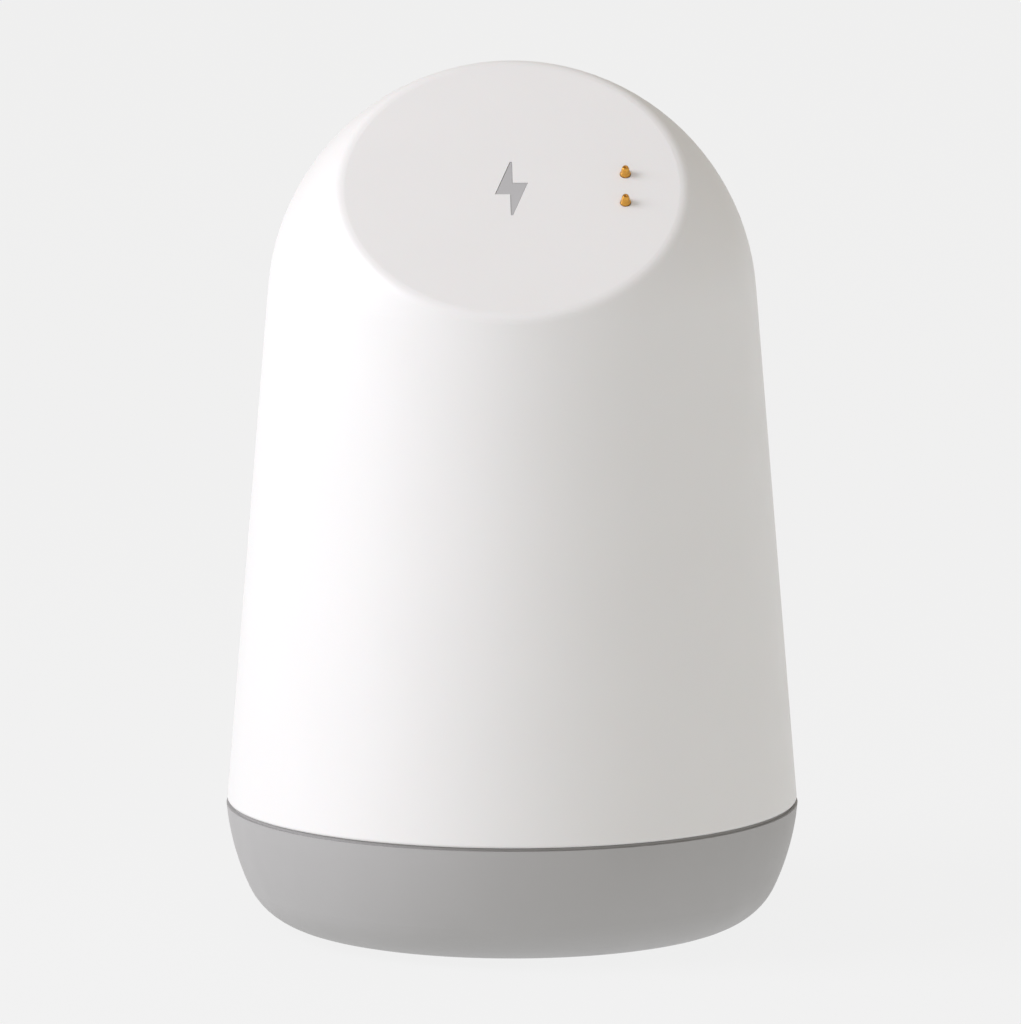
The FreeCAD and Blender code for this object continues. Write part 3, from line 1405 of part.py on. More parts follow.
def build():
    make_outer_shell()
    make_charge_icon()
    make_base_cup()
    make_foot_pad()
    make_counterweight()
    make_weight_tape()
    make_screws()
    make_main_board()
    make_usb_socket_shell()
    make_usb_socket_insulator()
    make_usb_socket_terminals()
    make_board_parts()
    make_magnet_carrier()
    make_magnets()
    make_contact_board()
    make_pin_block()
    make_contact_pins()
    make_connector("lower", (d["lower_header_x"], d["lower_header_y"], board_top))
    upper_place = on_face(d["upper_header_u"], d["upper_header_v"], contact_board_back)
    make_connector("upper", upper_place, d["face_tilt"])
    make_wires()
    doc.recompute()


def check_and_write():
    """Stops on any failed object or bad solid, and writes each node's STEP file."""
    for item in doc.Objects:
        if "Invalid" in item.State or "Error" in item.State:
            raise RuntimeError(f"{item.Label} failed: {item.State}")
    os.makedirs("parts", exist_ok=True)
    for node in nodes:
        shape = node.Shape
        if shape.isNull() or not shape.isValid() or not shape.Solids:
            raise RuntimeError(f"{node.Label} has no valid solid")
        shape.exportStep(os.path.join("parts", f"{node.Label}.step"))
        print(f"{node.Label}: {len(shape.Solids)} solid(s), {shape.Volume:.3f} mm3")


build()
check_and_write()
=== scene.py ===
"""Looks of an ear wax cleaner's charging dock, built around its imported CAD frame."""

import json
import logging
import math
from dataclasses import dataclass, field
from enum import Enum

import bmesh
import bpy
from mathutils import Matrix, Vector


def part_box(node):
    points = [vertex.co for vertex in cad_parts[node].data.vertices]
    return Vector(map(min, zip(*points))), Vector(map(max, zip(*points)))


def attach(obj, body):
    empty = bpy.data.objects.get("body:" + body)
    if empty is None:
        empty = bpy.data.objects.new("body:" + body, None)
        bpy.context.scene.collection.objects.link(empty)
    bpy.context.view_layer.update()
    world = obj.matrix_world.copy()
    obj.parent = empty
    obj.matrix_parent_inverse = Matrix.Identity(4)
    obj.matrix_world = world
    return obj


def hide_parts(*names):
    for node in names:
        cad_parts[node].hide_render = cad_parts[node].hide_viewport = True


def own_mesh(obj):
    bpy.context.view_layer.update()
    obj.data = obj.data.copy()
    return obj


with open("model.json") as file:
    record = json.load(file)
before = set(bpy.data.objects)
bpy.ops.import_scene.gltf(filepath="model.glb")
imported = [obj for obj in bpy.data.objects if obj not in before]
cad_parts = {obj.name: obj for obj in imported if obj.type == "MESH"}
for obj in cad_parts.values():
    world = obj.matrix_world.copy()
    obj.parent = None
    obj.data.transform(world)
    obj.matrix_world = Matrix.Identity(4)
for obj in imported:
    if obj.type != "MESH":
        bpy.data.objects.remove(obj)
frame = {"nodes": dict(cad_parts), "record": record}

MM = 0.001
FULL_TURN = 2.0 * math.pi
SAME_POINT = 1e-7  # metres between two points that count as one
ON_AXIS = 1e-9  # metres from a turned piece's axis that count as none
ROUNDED_SHARE = 0.45  # most of an edge that one rounded corner takes
ORDER_DIGITS = 6  # decimals of a metre that count when solids are put in order
MAIN_FINISH = 0  # a piece's first material
SECOND_FINISH = 1  # its second, such as the tin on a soldered part
LOG = logging.getLogger("charging_dock")

Point = tuple[float, float]
Triple = tuple[float, float, float]
Colour = Triple
Box = tuple[Vector, Vector]


class Body(Enum):
    """The rigid bodies that pieces ride on."""

    DOCK = "dock"
    PLUNGER_UPPER = "plunger_upper"
    PLUNGER_LOWER = "plunger_lower"


class Slot(Enum):
    """The record's material slots that the new board parts belong to."""

    INLAY = "grey_inlay"
    GOLD = "gold_plating"
    SPRING = "spring_steel"
    BLACK = "black_plastic"
    CERAMIC = "chip_ceramic"
    FERRITE = "carrier_plastic"


class Side(Enum):
    """Which of the two contact pins a piece belongs to, with its place up the slope from their middle."""

    UPPER = 1
    LOWER = -1

    @property
    def word(self) -> str:
        """The side's name in node and joint names."""
        return self.name.lower()

    @property
    def body(self) -> Body:
        """The body of this side's plunger."""
        return Body.PLUNGER_UPPER if self is Side.UPPER else Body.PLUNGER_LOWER


# ---------------------------------------------------------------- finishes


class Shading:
    """One material's nodes, with short calls for what the finishes have in common."""

    def __init__(self, name: str) -> None:
        """Starts a material with one shader.

        Args:
            name: the material's name.
        """
        self.material = bpy.data.materials.new(name)
        self.material.use_nodes = True
        self.tree = self.material.node_tree
        self.shader = self.tree.nodes["Principled BSDF"]
        self.place = self.add("ShaderNodeTexCoord").outputs["Object"]

    def add(self, kind: str, **settings: object) -> bpy.types.Node:
        """Adds a node.

        Args:
            kind: the node's type.
            settings: properties to set on it.

        Returns:
            The new node.
        """
        node = self.tree.nodes.new(kind)
        for name, value in settings.items():
            setattr(node, name, value)
        return node

    def link(self, source: bpy.types.NodeSocket, target: bpy.types.NodeSocket) -> None:
        """Joins an output to an input."""
        self.tree.links.new(source, target)

    def set(self, **values: object) -> None:
        """Sets plain values on the shader's own sockets.

        Args:
            values: socket names, with underscores for spaces, and their values.
        """
        for name, value in values.items():
            self.shader.inputs[name.replace("_", " ")].default_value = value

    def stretched(self, stretch: Triple) -> bpy.types.NodeSocket:
        """The place on the piece, scaled along each axis.

        Args:
            stretch: the scale along x, y and z.

        Returns:
            The scaled place.
        """
        mapping = self.add("ShaderNodeMapping")
        mapping.inputs["Scale"].default_value = stretch
        self.link(self.place, mapping.inputs["Vector"])
        return mapping.outputs["Vector"]

    def noise(
        self,
        per_metre: float,
        detail: float = 2.0,
        stretch: Triple = (1.0, 1.0, 1.0),
    ) -> bpy.types.NodeSocket:
        """A cloudy pattern fixed to the piece.

        Args:
            per_metre: how many clouds there are in a metre.
            detail: how many finer layers lie on top.
            stretch: the scale along x, y and z.

        Returns:
            The pattern's strength.
        """
        node = self.add("ShaderNodeTexNoise")
        node.inputs["Scale"].default_value = per_metre
        node.inputs["Detail"].default_value = detail
        self.link(self.stretched(stretch), node.inputs["Vector"])
        return node.outputs["Fac"]

    def ramp(
        self,
        value: bpy.types.NodeSocket,
        low: float,
        high: float,
        start: float = 0.3,
        end: float = 0.7,
    ) -> bpy.types.NodeSocket:
        """Spreads a pattern over a range.

        Args:
            value: the pattern.
            low: the result at start and below.
            high: the result at end and above.
            start: where the range starts.
            end: where the range ends.

        Returns:
            The spread pattern.
        """
        node = self.add("ShaderNodeMapRange")
        for name, number in (("From Min", start), ("From Max", end), ("To Min", low), ("To Max", high)):
            node.inputs[name].default_value = number
        self.link(value, node.inputs["Value"])
        return node.outputs["Result"]

    def combine(
        self, operation: str, first: bpy.types.NodeSocket, second: bpy.types.NodeSocket | float
    ) -> bpy.types.NodeSocket:
        """Works out one number from two.

        Args:
            operation: the name of the sum, such as MULTIPLY.
            first: a pattern.
            second: a pattern or a number.

        Returns:
            The result.
        """
        node = self.add("ShaderNodeMath", operation=operation)
        self.link(first, node.inputs[0])
        if isinstance(second, (int, float)):
            node.inputs[1].default_value = second
        else:
            self.link(second, node.inputs[1])
        return node.outputs["Value"]

    def blend(
        self,
        factor: bpy.types.NodeSocket,
        first: Colour | bpy.types.NodeSocket,
        second: Colour | bpy.types.NodeSocket,
    ) -> bpy.types.NodeSocket:
        """Mixes two colours by a pattern.

        Args:
            factor: the pattern.
            first: the colour where the pattern is 0.
            second: the colour where the pattern is 1.

        Returns:
            The mixed colour.
        """
        node = self.add("ShaderNodeMix", data_type="RGBA")
        self.link(factor, node.inputs["Factor"])
        for socket, colour in ((node.inputs[6], first), (node.inputs[7], second)):
            if isinstance(colour, tuple):
                socket.default_value = (*colour, 1.0)
            else:
                self.link(colour, socket)
        return node.outputs[2]

    def along(self, direction: Vector, origin: Vector) -> bpy.types.NodeSocket:
        """How far the place on the piece lies along a direction, in metres.

        Args:
            direction: a unit vector.
            origin: the point where the distance is nought.

        Returns:
            The distance.
        """
        node = self.add("ShaderNodeVectorMath", operation="DOT_PRODUCT")
        node.inputs[1].default_value = direction
        self.link(self.place, node.inputs[0])
        return self.combine("SUBTRACT", node.outputs["Value"], float(direction.dot(origin)))

    def colour(self, source: bpy.types.NodeSocket) -> None:
        """Sends a colour pattern to the shader."""
        self.link(source, self.shader.inputs["Base Color"])

    def roughness(self, source: bpy.types.NodeSocket) -> None:
        """Sends a roughness pattern to the shader."""
        self.link(source, self.shader.inputs["Roughness"])

    def relief(self, layers: list[tuple[bpy.types.NodeSocket, float]]) -> None:
        """Raises the surface by one or more patterns.

        Args:
            layers: each pattern with its height in metres.
        """
        normal = None
        for pattern, height in layers:
            node = self.add("ShaderNodeBump")
            node.inputs["Strength"].default_value = 1.0
            node.inputs["Distance"].default_value = height
            self.link(pattern, node.inputs["Height"])
            if normal is not None:
                self.link(normal, node.inputs["Normal"])
            normal = node.outputs["Normal"]
        self.link(normal, self.shader.inputs["Normal"])


@dataclass(frozen=True)
class MouldedPlastic:
    """Plastic with the fine grain of a spark-eroded mould, slight mottling and uneven gloss."""

    name: str
    colour: Colour
    roughness: float = 0.42
    spread: float = 0.05
    mottle: float = 0.02
    grain_per_metre: float = 4200.0
    grain_height: float = 0.006 * MM
    subsurface: float = 0.0
    scatter_reach: float = 0.8 * MM
    clouds_per_metre: float = 90.0
    handling_per_metre: float = 260.0
    coarse_scale: float = 0.3
    coarse_height: float = 0.6

    def material(self) -> bpy.types.Material:
        """Builds the material."""
        return self.shading().material

    def shading(self) -> Shading:
        """Builds the nodes, so that a finer finish can add to them.

        Returns:
            The material's nodes.
        """
        nodes = Shading(self.name)
        clouds = nodes.noise(self.clouds_per_metre, detail=3.0)
        darker = tuple(channel * (1.0 - self.mottle) for channel in self.colour)
        nodes.colour(nodes.blend(nodes.ramp(clouds, 0.0, 1.0), darker, self.colour))
        handling = nodes.noise(self.handling_per_metre, detail=4.0)
        nodes.roughness(nodes.ramp(handling, self.roughness - self.spread, self.roughness + self.spread))
        fine = nodes.noise(self.grain_per_metre, detail=2.0)
        coarse = nodes.noise(self.grain_per_metre * self.coarse_scale, detail=1.0)
        nodes.relief([(fine, self.grain_height), (coarse, self.grain_height * self.coarse_height)])
        nodes.set(Subsurface_Weight=self.subsurface, Subsurface_Scale=self.scatter_reach)
        return nodes


@dataclass(frozen=True)
class ShellPlastic:
    """The shell's satin white, with the docking face rubbed a little smoother where the cleaner lands."""

    base: MouldedPlastic
    face_origin: Triple
    face_normal: Triple
    rub_start: float = -0.25 * MM
    rub_end: float = 0.05 * MM
    rub_gloss: float = 0.05
    upright_per_metre: float = 900.0
    upright_stretch: Triple = (1.0, 0.06, 0.06)
    level_per_metre: float = 720.0
    level_stretch: Triple = (0.05, 1.0, 1.0)

    def material(self) -> bpy.types.Material:
        """Builds the material.

        Returns:
            The shell's material.
        """
        nodes = self.base.shading()
        out = nodes.along(Vector(self.face_normal), Vector(self.face_origin))
        on_face = nodes.ramp(out, 0.0, 1.0, start=self.rub_start, end=self.rub_end)
        upright = nodes.noise(self.upright_per_metre, stretch=self.upright_stretch)
        level = nodes.noise(self.level_per_metre, stretch=self.level_stretch)
        upright_scratches = nodes.ramp(upright, 0.0, 1.0, start=0.62, end=0.7)
        level_scratches = nodes.ramp(level, 0.0, 1.0, start=0.64, end=0.72)
        scratches = nodes.combine("MAXIMUM", upright_scratches, level_scratches)
        rubbed = nodes.combine("MULTIPLY", on_face, nodes.ramp(scratches, 0.5, 1.0, start=0.0, end=1.0))
        before = nodes.shader.inputs["Roughness"].links[0].from_socket
        nodes.roughness(nodes.combine("SUBTRACT", before, nodes.combine("MULTIPLY", rubbed, self.rub_gloss)))
        return nodes.material


@dataclass(frozen=True)
class PlatedMetal:
    """Turned or drawn metal with a thin plating, its tool marks and slight tarnish."""

    name: str
    colour: Colour
    tarnish: Colour
    roughness: float = 0.25
    spread: float = 0.08
    marks_per_metre: float = 9000.0
    mark_height: float = 0.002 * MM
    marks_stretch: Triple = (0.04, 0.04, 1.0)
    stains_per_metre: float = 700.0

    def material(self) -> bpy.types.Material:
        """Builds the material.

        Returns:
            The metal's material.
        """
        nodes = Shading(self.name)
        nodes.set(Metallic=1.0)
        stains = nodes.ramp(nodes.noise(self.stains_per_metre, detail=4.0), 0.0, 1.0, start=0.45, end=0.75)
        nodes.colour(nodes.blend(stains, self.colour, self.tarnish))
        marks = nodes.noise(self.marks_per_metre, stretch=self.marks_stretch)
        nodes.roughness(nodes.ramp(marks, self.roughness - self.spread, self.roughness + self.spread))
        nodes.relief([(marks, self.mark_height)])
        return nodes.material


@dataclass(frozen=True)
class SandCastIron:
    """Cast iron with a sandy skin, blackened against rust, with a few paler rubbed places."""

    name: str = "blackened cast iron"
    colour: Colour = (0.035, 0.033, 0.031)
    rubbed: Colour = (0.13, 0.125, 0.12)
    metallic: float = 0.7
    wear_per_metre: float = 180.0
    gloss_per_metre: float = 900.0
    sand_per_metre: float = 1500.0
    sand_height: float = 0.08 * MM
    dents_per_metre: float = 260.0
    dent_height: float = 0.1 * MM

    def material(self) -> bpy.types.Material:
        """Builds the material.

        Returns:
            The iron's material.
        """
        nodes = Shading(self.name)
        nodes.set(Metallic=self.metallic)
        wear = nodes.ramp(nodes.noise(self.wear_per_metre, detail=6.0), 0.0, 1.0, start=0.55, end=0.7)
        nodes.colour(nodes.blend(wear, self.colour, self.rubbed))
        nodes.roughness(nodes.ramp(nodes.noise(self.gloss_per_metre, detail=3.0), 0.5, 0.8))
        sand = nodes.noise(self.sand_per_metre, detail=4.0)
        dents = nodes.noise(self.dents_per_metre, detail=2.0)
        nodes.relief([(sand, self.sand_height), (dents, self.dent_height)])
        return nodes.material


@dataclass(frozen=True)
class SoftRubber:
    """Dark rubber with a dusty bloom and a soft grain."""

    name: str
    colour: Colour
    bloom: Colour
    grain_height: float = 0.02 * MM
    grain_per_metre: float = 3800.0
    dust_per_metre: float = 140.0
    gloss_per_metre: float = 500.0
    sheen: float = 0.15
    specular: float = 0.35

    def material(self) -> bpy.types.Material:
        """Builds the material.

        Returns:
            The rubber's material.
        """
        nodes = Shading(self.name)
        dust = nodes.ramp(nodes.noise(self.dust_per_metre, detail=6.0), 0.0, 1.0, start=0.45, end=0.8)
        nodes.colour(nodes.blend(dust, self.colour, self.bloom))
        nodes.roughness(nodes.ramp(nodes.noise(self.gloss_per_metre, detail=3.0), 0.68, 0.88))
        nodes.relief([(nodes.noise(self.grain_per_metre, detail=2.0), self.grain_height)])
        nodes.set(Sheen_Weight=self.sheen, Specular_IOR_Level=self.specular)
        return nodes.material


@dataclass(frozen=True)
class SolderMask:
    """A circuit board: green mask over copper tracks, with a bare yellowish edge."""

    name: str
    normal: Triple
    mask: Colour = (0.012, 0.10, 0.045)
    track: Colour = (0.03, 0.19, 0.075)
    edge: Colour = (0.46, 0.40, 0.20)
    lanes_per_metre: float = 420.0
    lane_width: float = 0.09
    patches_per_metre: float = 120.0
    track_height: float = 0.03 * MM
    gloss_per_metre: float = 600.0
    skin_per_metre: float = 2600.0
    skin_height: float = 0.004 * MM

    def material(self) -> bpy.types.Material:
        """Builds the material.

        Returns:
            The board's material.
        """
        nodes = Shading(self.name)
        lanes = nodes.add("ShaderNodeTexBrick")
        lanes.inputs["Scale"].default_value = self.lanes_per_metre
        lanes.inputs["Mortar Size"].default_value = self.lane_width
        for name, strength in (("Color1", 0.0), ("Color2", 0.0), ("Mortar", 1.0)):
            lanes.inputs[name].default_value = (strength, strength, strength, 1.0)
        nodes.link(nodes.place, lanes.inputs["Vector"])
        patches = nodes.ramp(nodes.noise(self.patches_per_metre), 0.0, 1.0, start=0.45, end=0.5)
        tracks = nodes.combine("MULTIPLY", lanes.outputs["Color"], patches)
        face = nodes.add("ShaderNodeNewGeometry").outputs["Normal"]
        level = nodes.add("ShaderNodeVectorMath", operation="DOT_PRODUCT")
        level.inputs[1].default_value = self.normal
        nodes.link(face, level.inputs[0])
        facing = nodes.combine("ABSOLUTE", level.outputs["Value"], 0.0)
        flat = nodes.ramp(facing, 0.0, 1.0, start=0.6, end=0.8)
        printed = nodes.blend(tracks, self.mask, self.track)
        nodes.colour(nodes.blend(flat, self.edge, printed))
        nodes.roughness(nodes.ramp(nodes.noise(self.gloss_per_metre, detail=2.0), 0.22, 0.4))
        skin = nodes.noise(self.skin_per_metre, detail=2.0)
        nodes.relief([(tracks, self.track_height), (skin, self.skin_height)])
        return nodes.material


# ---------------------------------------------------------------- mesh tools


def add_piece(name: str, mesh: bmesh.types.BMesh, place: Matrix, smooth: bool = True) -> bpy.types.Object:
    """Turns a finished mesh into an object in the scene.

    Args:
        name: the piece's name.
        mesh: the mesh, which is used up.
        place: where the mesh's own axes lie in the row frame.
        smooth: whether its faces are shaded as one curved surface.

    Returns:
        The new object.
    """
    bmesh.ops.recalc_face_normals(mesh, faces=mesh.faces)
    data = bpy.data.meshes.new(name)
    mesh.to_mesh(data)
    mesh.free()
    if smooth:
        data.shade_smooth()
    piece = bpy.data.objects.new(name, data)
    bpy.context.scene.collection.objects.link(piece)
    piece.matrix_world = place
    return piece


def turned(name: str, profile: list[Point], place: Matrix, segments: int = 48) -> bpy.types.Object:
    """A piece turned about its own z axis.

    Args:
        name: the piece's name.
        profile: radius and height of each point in turn. It starts and ends on the axis, or closes on itself.
        place: where the axis lies.
        segments: how many faces go round.

    Returns:
        The turned piece.
    """
    mesh = bmesh.new()
    rings = []
    for radius, height in profile:
        if radius < ON_AXIS:
            rings.append([mesh.verts.new((0.0, 0.0, height))])
            continue
        angles = [FULL_TURN * step / segments for step in range(segments)]
        rings.append([mesh.verts.new((radius * math.cos(a), radius * math.sin(a), height)) for a in angles])
    closed = len(rings[0]) > 1
    pairs = list(zip(rings, rings[1:])) + ([(rings[-1], rings[0])] if closed else [])
    for first, second in pairs:
        for step in range(segments):
            after = (step + 1) % segments
            corners = [first[step % len(first)], first[after % len(first)]]
            corners += [second[after % len(second)], second[step % len(second)]]
            unique = list(dict.fromkeys(corners))
            if len(unique) > 2:
                mesh.faces.new(unique)
    return add_piece(name, mesh, place)


def rounded(corners: list[Point], radius: float, steps: int = 4) -> list[Point]:
    """Rounds the inner corners of an open profile.

    Args:
        corners: the profile's points. Its first and last points stay.
        radius: how far from each corner the rounding starts.
        steps: how many edges each rounding has.

    Returns:
        The rounded profile.
    """
    result = [corners[0]]
    for before, corner, after in zip(corners, corners[1:], corners[2:]):
        here = Vector(corner)
        into = Vector(before) - here
        out = Vector(after) - here
        reach = min(radius, into.length * ROUNDED_SHARE, out.length * ROUNDED_SHARE)
        start = here + into.normalized() * reach
        end = here + out.normalized() * reach
        for step in range(steps + 1):
            share = step / steps
            point = start.lerp(here, share).lerp(here.lerp(end, share), share)
            result.append((point.x, point.y))
    result.append(corners[-1])
    return result


def prism(
    name: str, corners: list[Point], low: float, high: float, place: Matrix, bevel: float
) -> bpy.types.Object:
    """A straight block of a given outline with its edges broken.

    Args:
        name: the piece's name.
        corners: the outline.
        low: height of its underside.
        high: height of its top.
        place: where the outline's axes lie.
        bevel: width of the broken edges.

    Returns:
        The block.
    """
    mesh = bmesh.new()
    add_prism(mesh, corners, low, high, bevel)
    return add_piece(name, mesh, place, smooth=False)


def add_prism(mesh: bmesh.types.BMesh, corners: list[Point], low: float, high: float, bevel: float) -> None:
    """Adds a block of a given outline to a mesh.

    Args:
        mesh: the mesh to add to.
        corners: the outline.
        low: height of its underside.
        high: height of its top.
        bevel: width of the broken edges, or 0 for sharp ones.
    """
    floor = mesh.faces.new([mesh.verts.new((x, y, low)) for x, y in corners])
    lifted = bmesh.ops.extrude_face_region(mesh, geom=[floor])["geom"]
    tops = [item for item in lifted if isinstance(item, bmesh.types.BMVert)]
    bmesh.ops.translate(mesh, verts=tops, vec=(0.0, 0.0, high - low))
    if bevel > 0:
        edges = list(dict.fromkeys(edge for vert in [*tops, *floor.verts] for edge in vert.link_edges))
        bmesh.ops.bevel(mesh, geom=edges, offset=bevel, segments=2, profile=0.5, affect="EDGES")


def swept(name: str, path: list[Vector], radius: float, place: Matrix, sides: int) -> bpy.types.Object:
    """A round wire along a path, with closed ends.

    Args:
        name: the piece's name.
        path: the points of its centre line.
        radius: the wire's radius.
        place: where the path's axes lie.
        sides: how many faces go round the wire.

    Returns:
        The wire.
    """
    mesh = bmesh.new()
    rings = []
    side = Vector((1.0, 0.0, 0.0))
    for index, point in enumerate(path):
        ahead = path[min(index + 1, len(path) - 1)] - path[max(index - 1, 0)]
        ahead.normalize()
        side = (side - ahead * side.dot(ahead)).normalized()
        up = ahead.cross(side)
        ring = []
        for step in range(sides):
            angle = FULL_TURN * step / sides
            offset = side * math.cos(angle) + up * math.sin(angle)
            ring.append(mesh.verts.new(point + offset * radius))
        rings.append(ring)
    for first, second in zip(rings, rings[1:]):
        for step in range(sides):
            after = (step + 1) % sides
            mesh.faces.new((first[step], first[after], second[after], second[step]))
    mesh.faces.new(rings[0])
    mesh.faces.new(rings[-1])
    return add_piece(name, mesh, place)


def dress(node: str, material: bpy.types.Material) -> None:
    """Gives a carried-over CAD node its material.

    Args:
        node: the node's name.
        material: the material for all of it.
    """
    for material_slot in frame["nodes"][node].material_slots:
        material_slot.material = material
    LOG.info("%s: dressed in %s", node, material.name)


def install(
    piece: bpy.types.Object, body: Body, material: bpy.types.Material, node: str
) -> None:
    """Finishes a new piece: its material, its body and the CAD node that it stands for.

    Args:
        piece: the piece.
        body: what it rides on.
        material: its main material.
        node: the CAD node that it replaces.
    """
    if not piece.data.materials:
        piece.data.materials.append(material)
    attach(piece, body.value)
    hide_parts(node)
    LOG.info("%s: %d faces, rides on %s", piece.name, len(piece.data.polygons), body.value)


# ---------------------------------------------------------------- the docking face


@dataclass(frozen=True)
class DockingFace:
    """The flat round face and its own axes: u to the right, v up the slope, w outwards."""

    origin: Vector
    normal: Vector
    contacts: Vector

    @classmethod
    def from_record(cls) -> "DockingFace":
        """Reads the face and the contacts' place from the record's mounts.

        Returns:
            The face.
        """
        mounts = {mount["name"]: mount for mount in frame["record"]["mounts"]}
        point = Vector(mounts["dock_face"]["pos_m"])
        normal = Vector(mounts["dock_face"]["axis"]).normalized()
        contacts = Vector(mounts["charge_contacts"]["pos_m"])
        contacts -= normal * normal.dot(contacts - point)
        return cls(Vector((0.0, point.y, point.z)), normal, contacts)

    @property
    def up_slope(self) -> Vector:
        """The v axis."""
        return self.normal.cross(Vector((1.0, 0.0, 0.0)))

    def place(self, point: Vector) -> Matrix:
        """The face's axes, moved to a point.

        Args:
            point: the new origin.

        Returns:
            The matrix from the face's axes to the row frame.
        """
        columns = (Vector((1.0, 0.0, 0.0)), self.up_slope, self.normal, point)
        matrix = Matrix.Identity(4)
        for column, vector in enumerate(columns):
            for row in range(3):
                matrix[row][column] = vector[row]
        return matrix


@dataclass
class ChargeSymbol:
    """The bolt-shaped inlay in the face."""

    face: DockingFace
    grey: bpy.types.Material
    across: float = -0.07 * MM
    up: float = -0.02 * MM
    tip_height: float = 3.75 * MM
    tip_width: float = 0.22 * MM
    tip_offset: float = 0.06 * MM
    half_width: float = 1.7 * MM
    step: float = 0.81 * MM
    notch: float = 0.12 * MM
    gap: float = 0.02 * MM
    depth: float = 0.75 * MM
    sink: float = 0.04 * MM
    edge_break: float = 0.04 * MM

    def outline(self) -> list[Point]:
        """The bolt's outline, which is the same upside down.

        Returns:
            Its corners in order, on the face's u and v axes.
        """
        tip = self.tip_width / 2 - self.gap
        half = [
            (-self.tip_offset - tip, self.tip_height - self.gap),
            (tip - self.tip_offset, self.tip_height - self.gap),
            (self.notch - self.gap, self.step - self.gap),
            (self.half_width - 2 * self.gap, self.step - self.gap),
        ]
        return [(self.across + x, self.up + y) for x, y in half + [(-x, -y) for x, y in half]]

    def build(self) -> None:
        """Makes and dresses the inlay."""
        place = self.face.place(self.face.origin)
        piece = prism("charge_symbol", self.outline(), -self.depth, -self.sink, place, self.edge_break)
        install(piece, Body.DOCK, self.grey, "charge_icon")


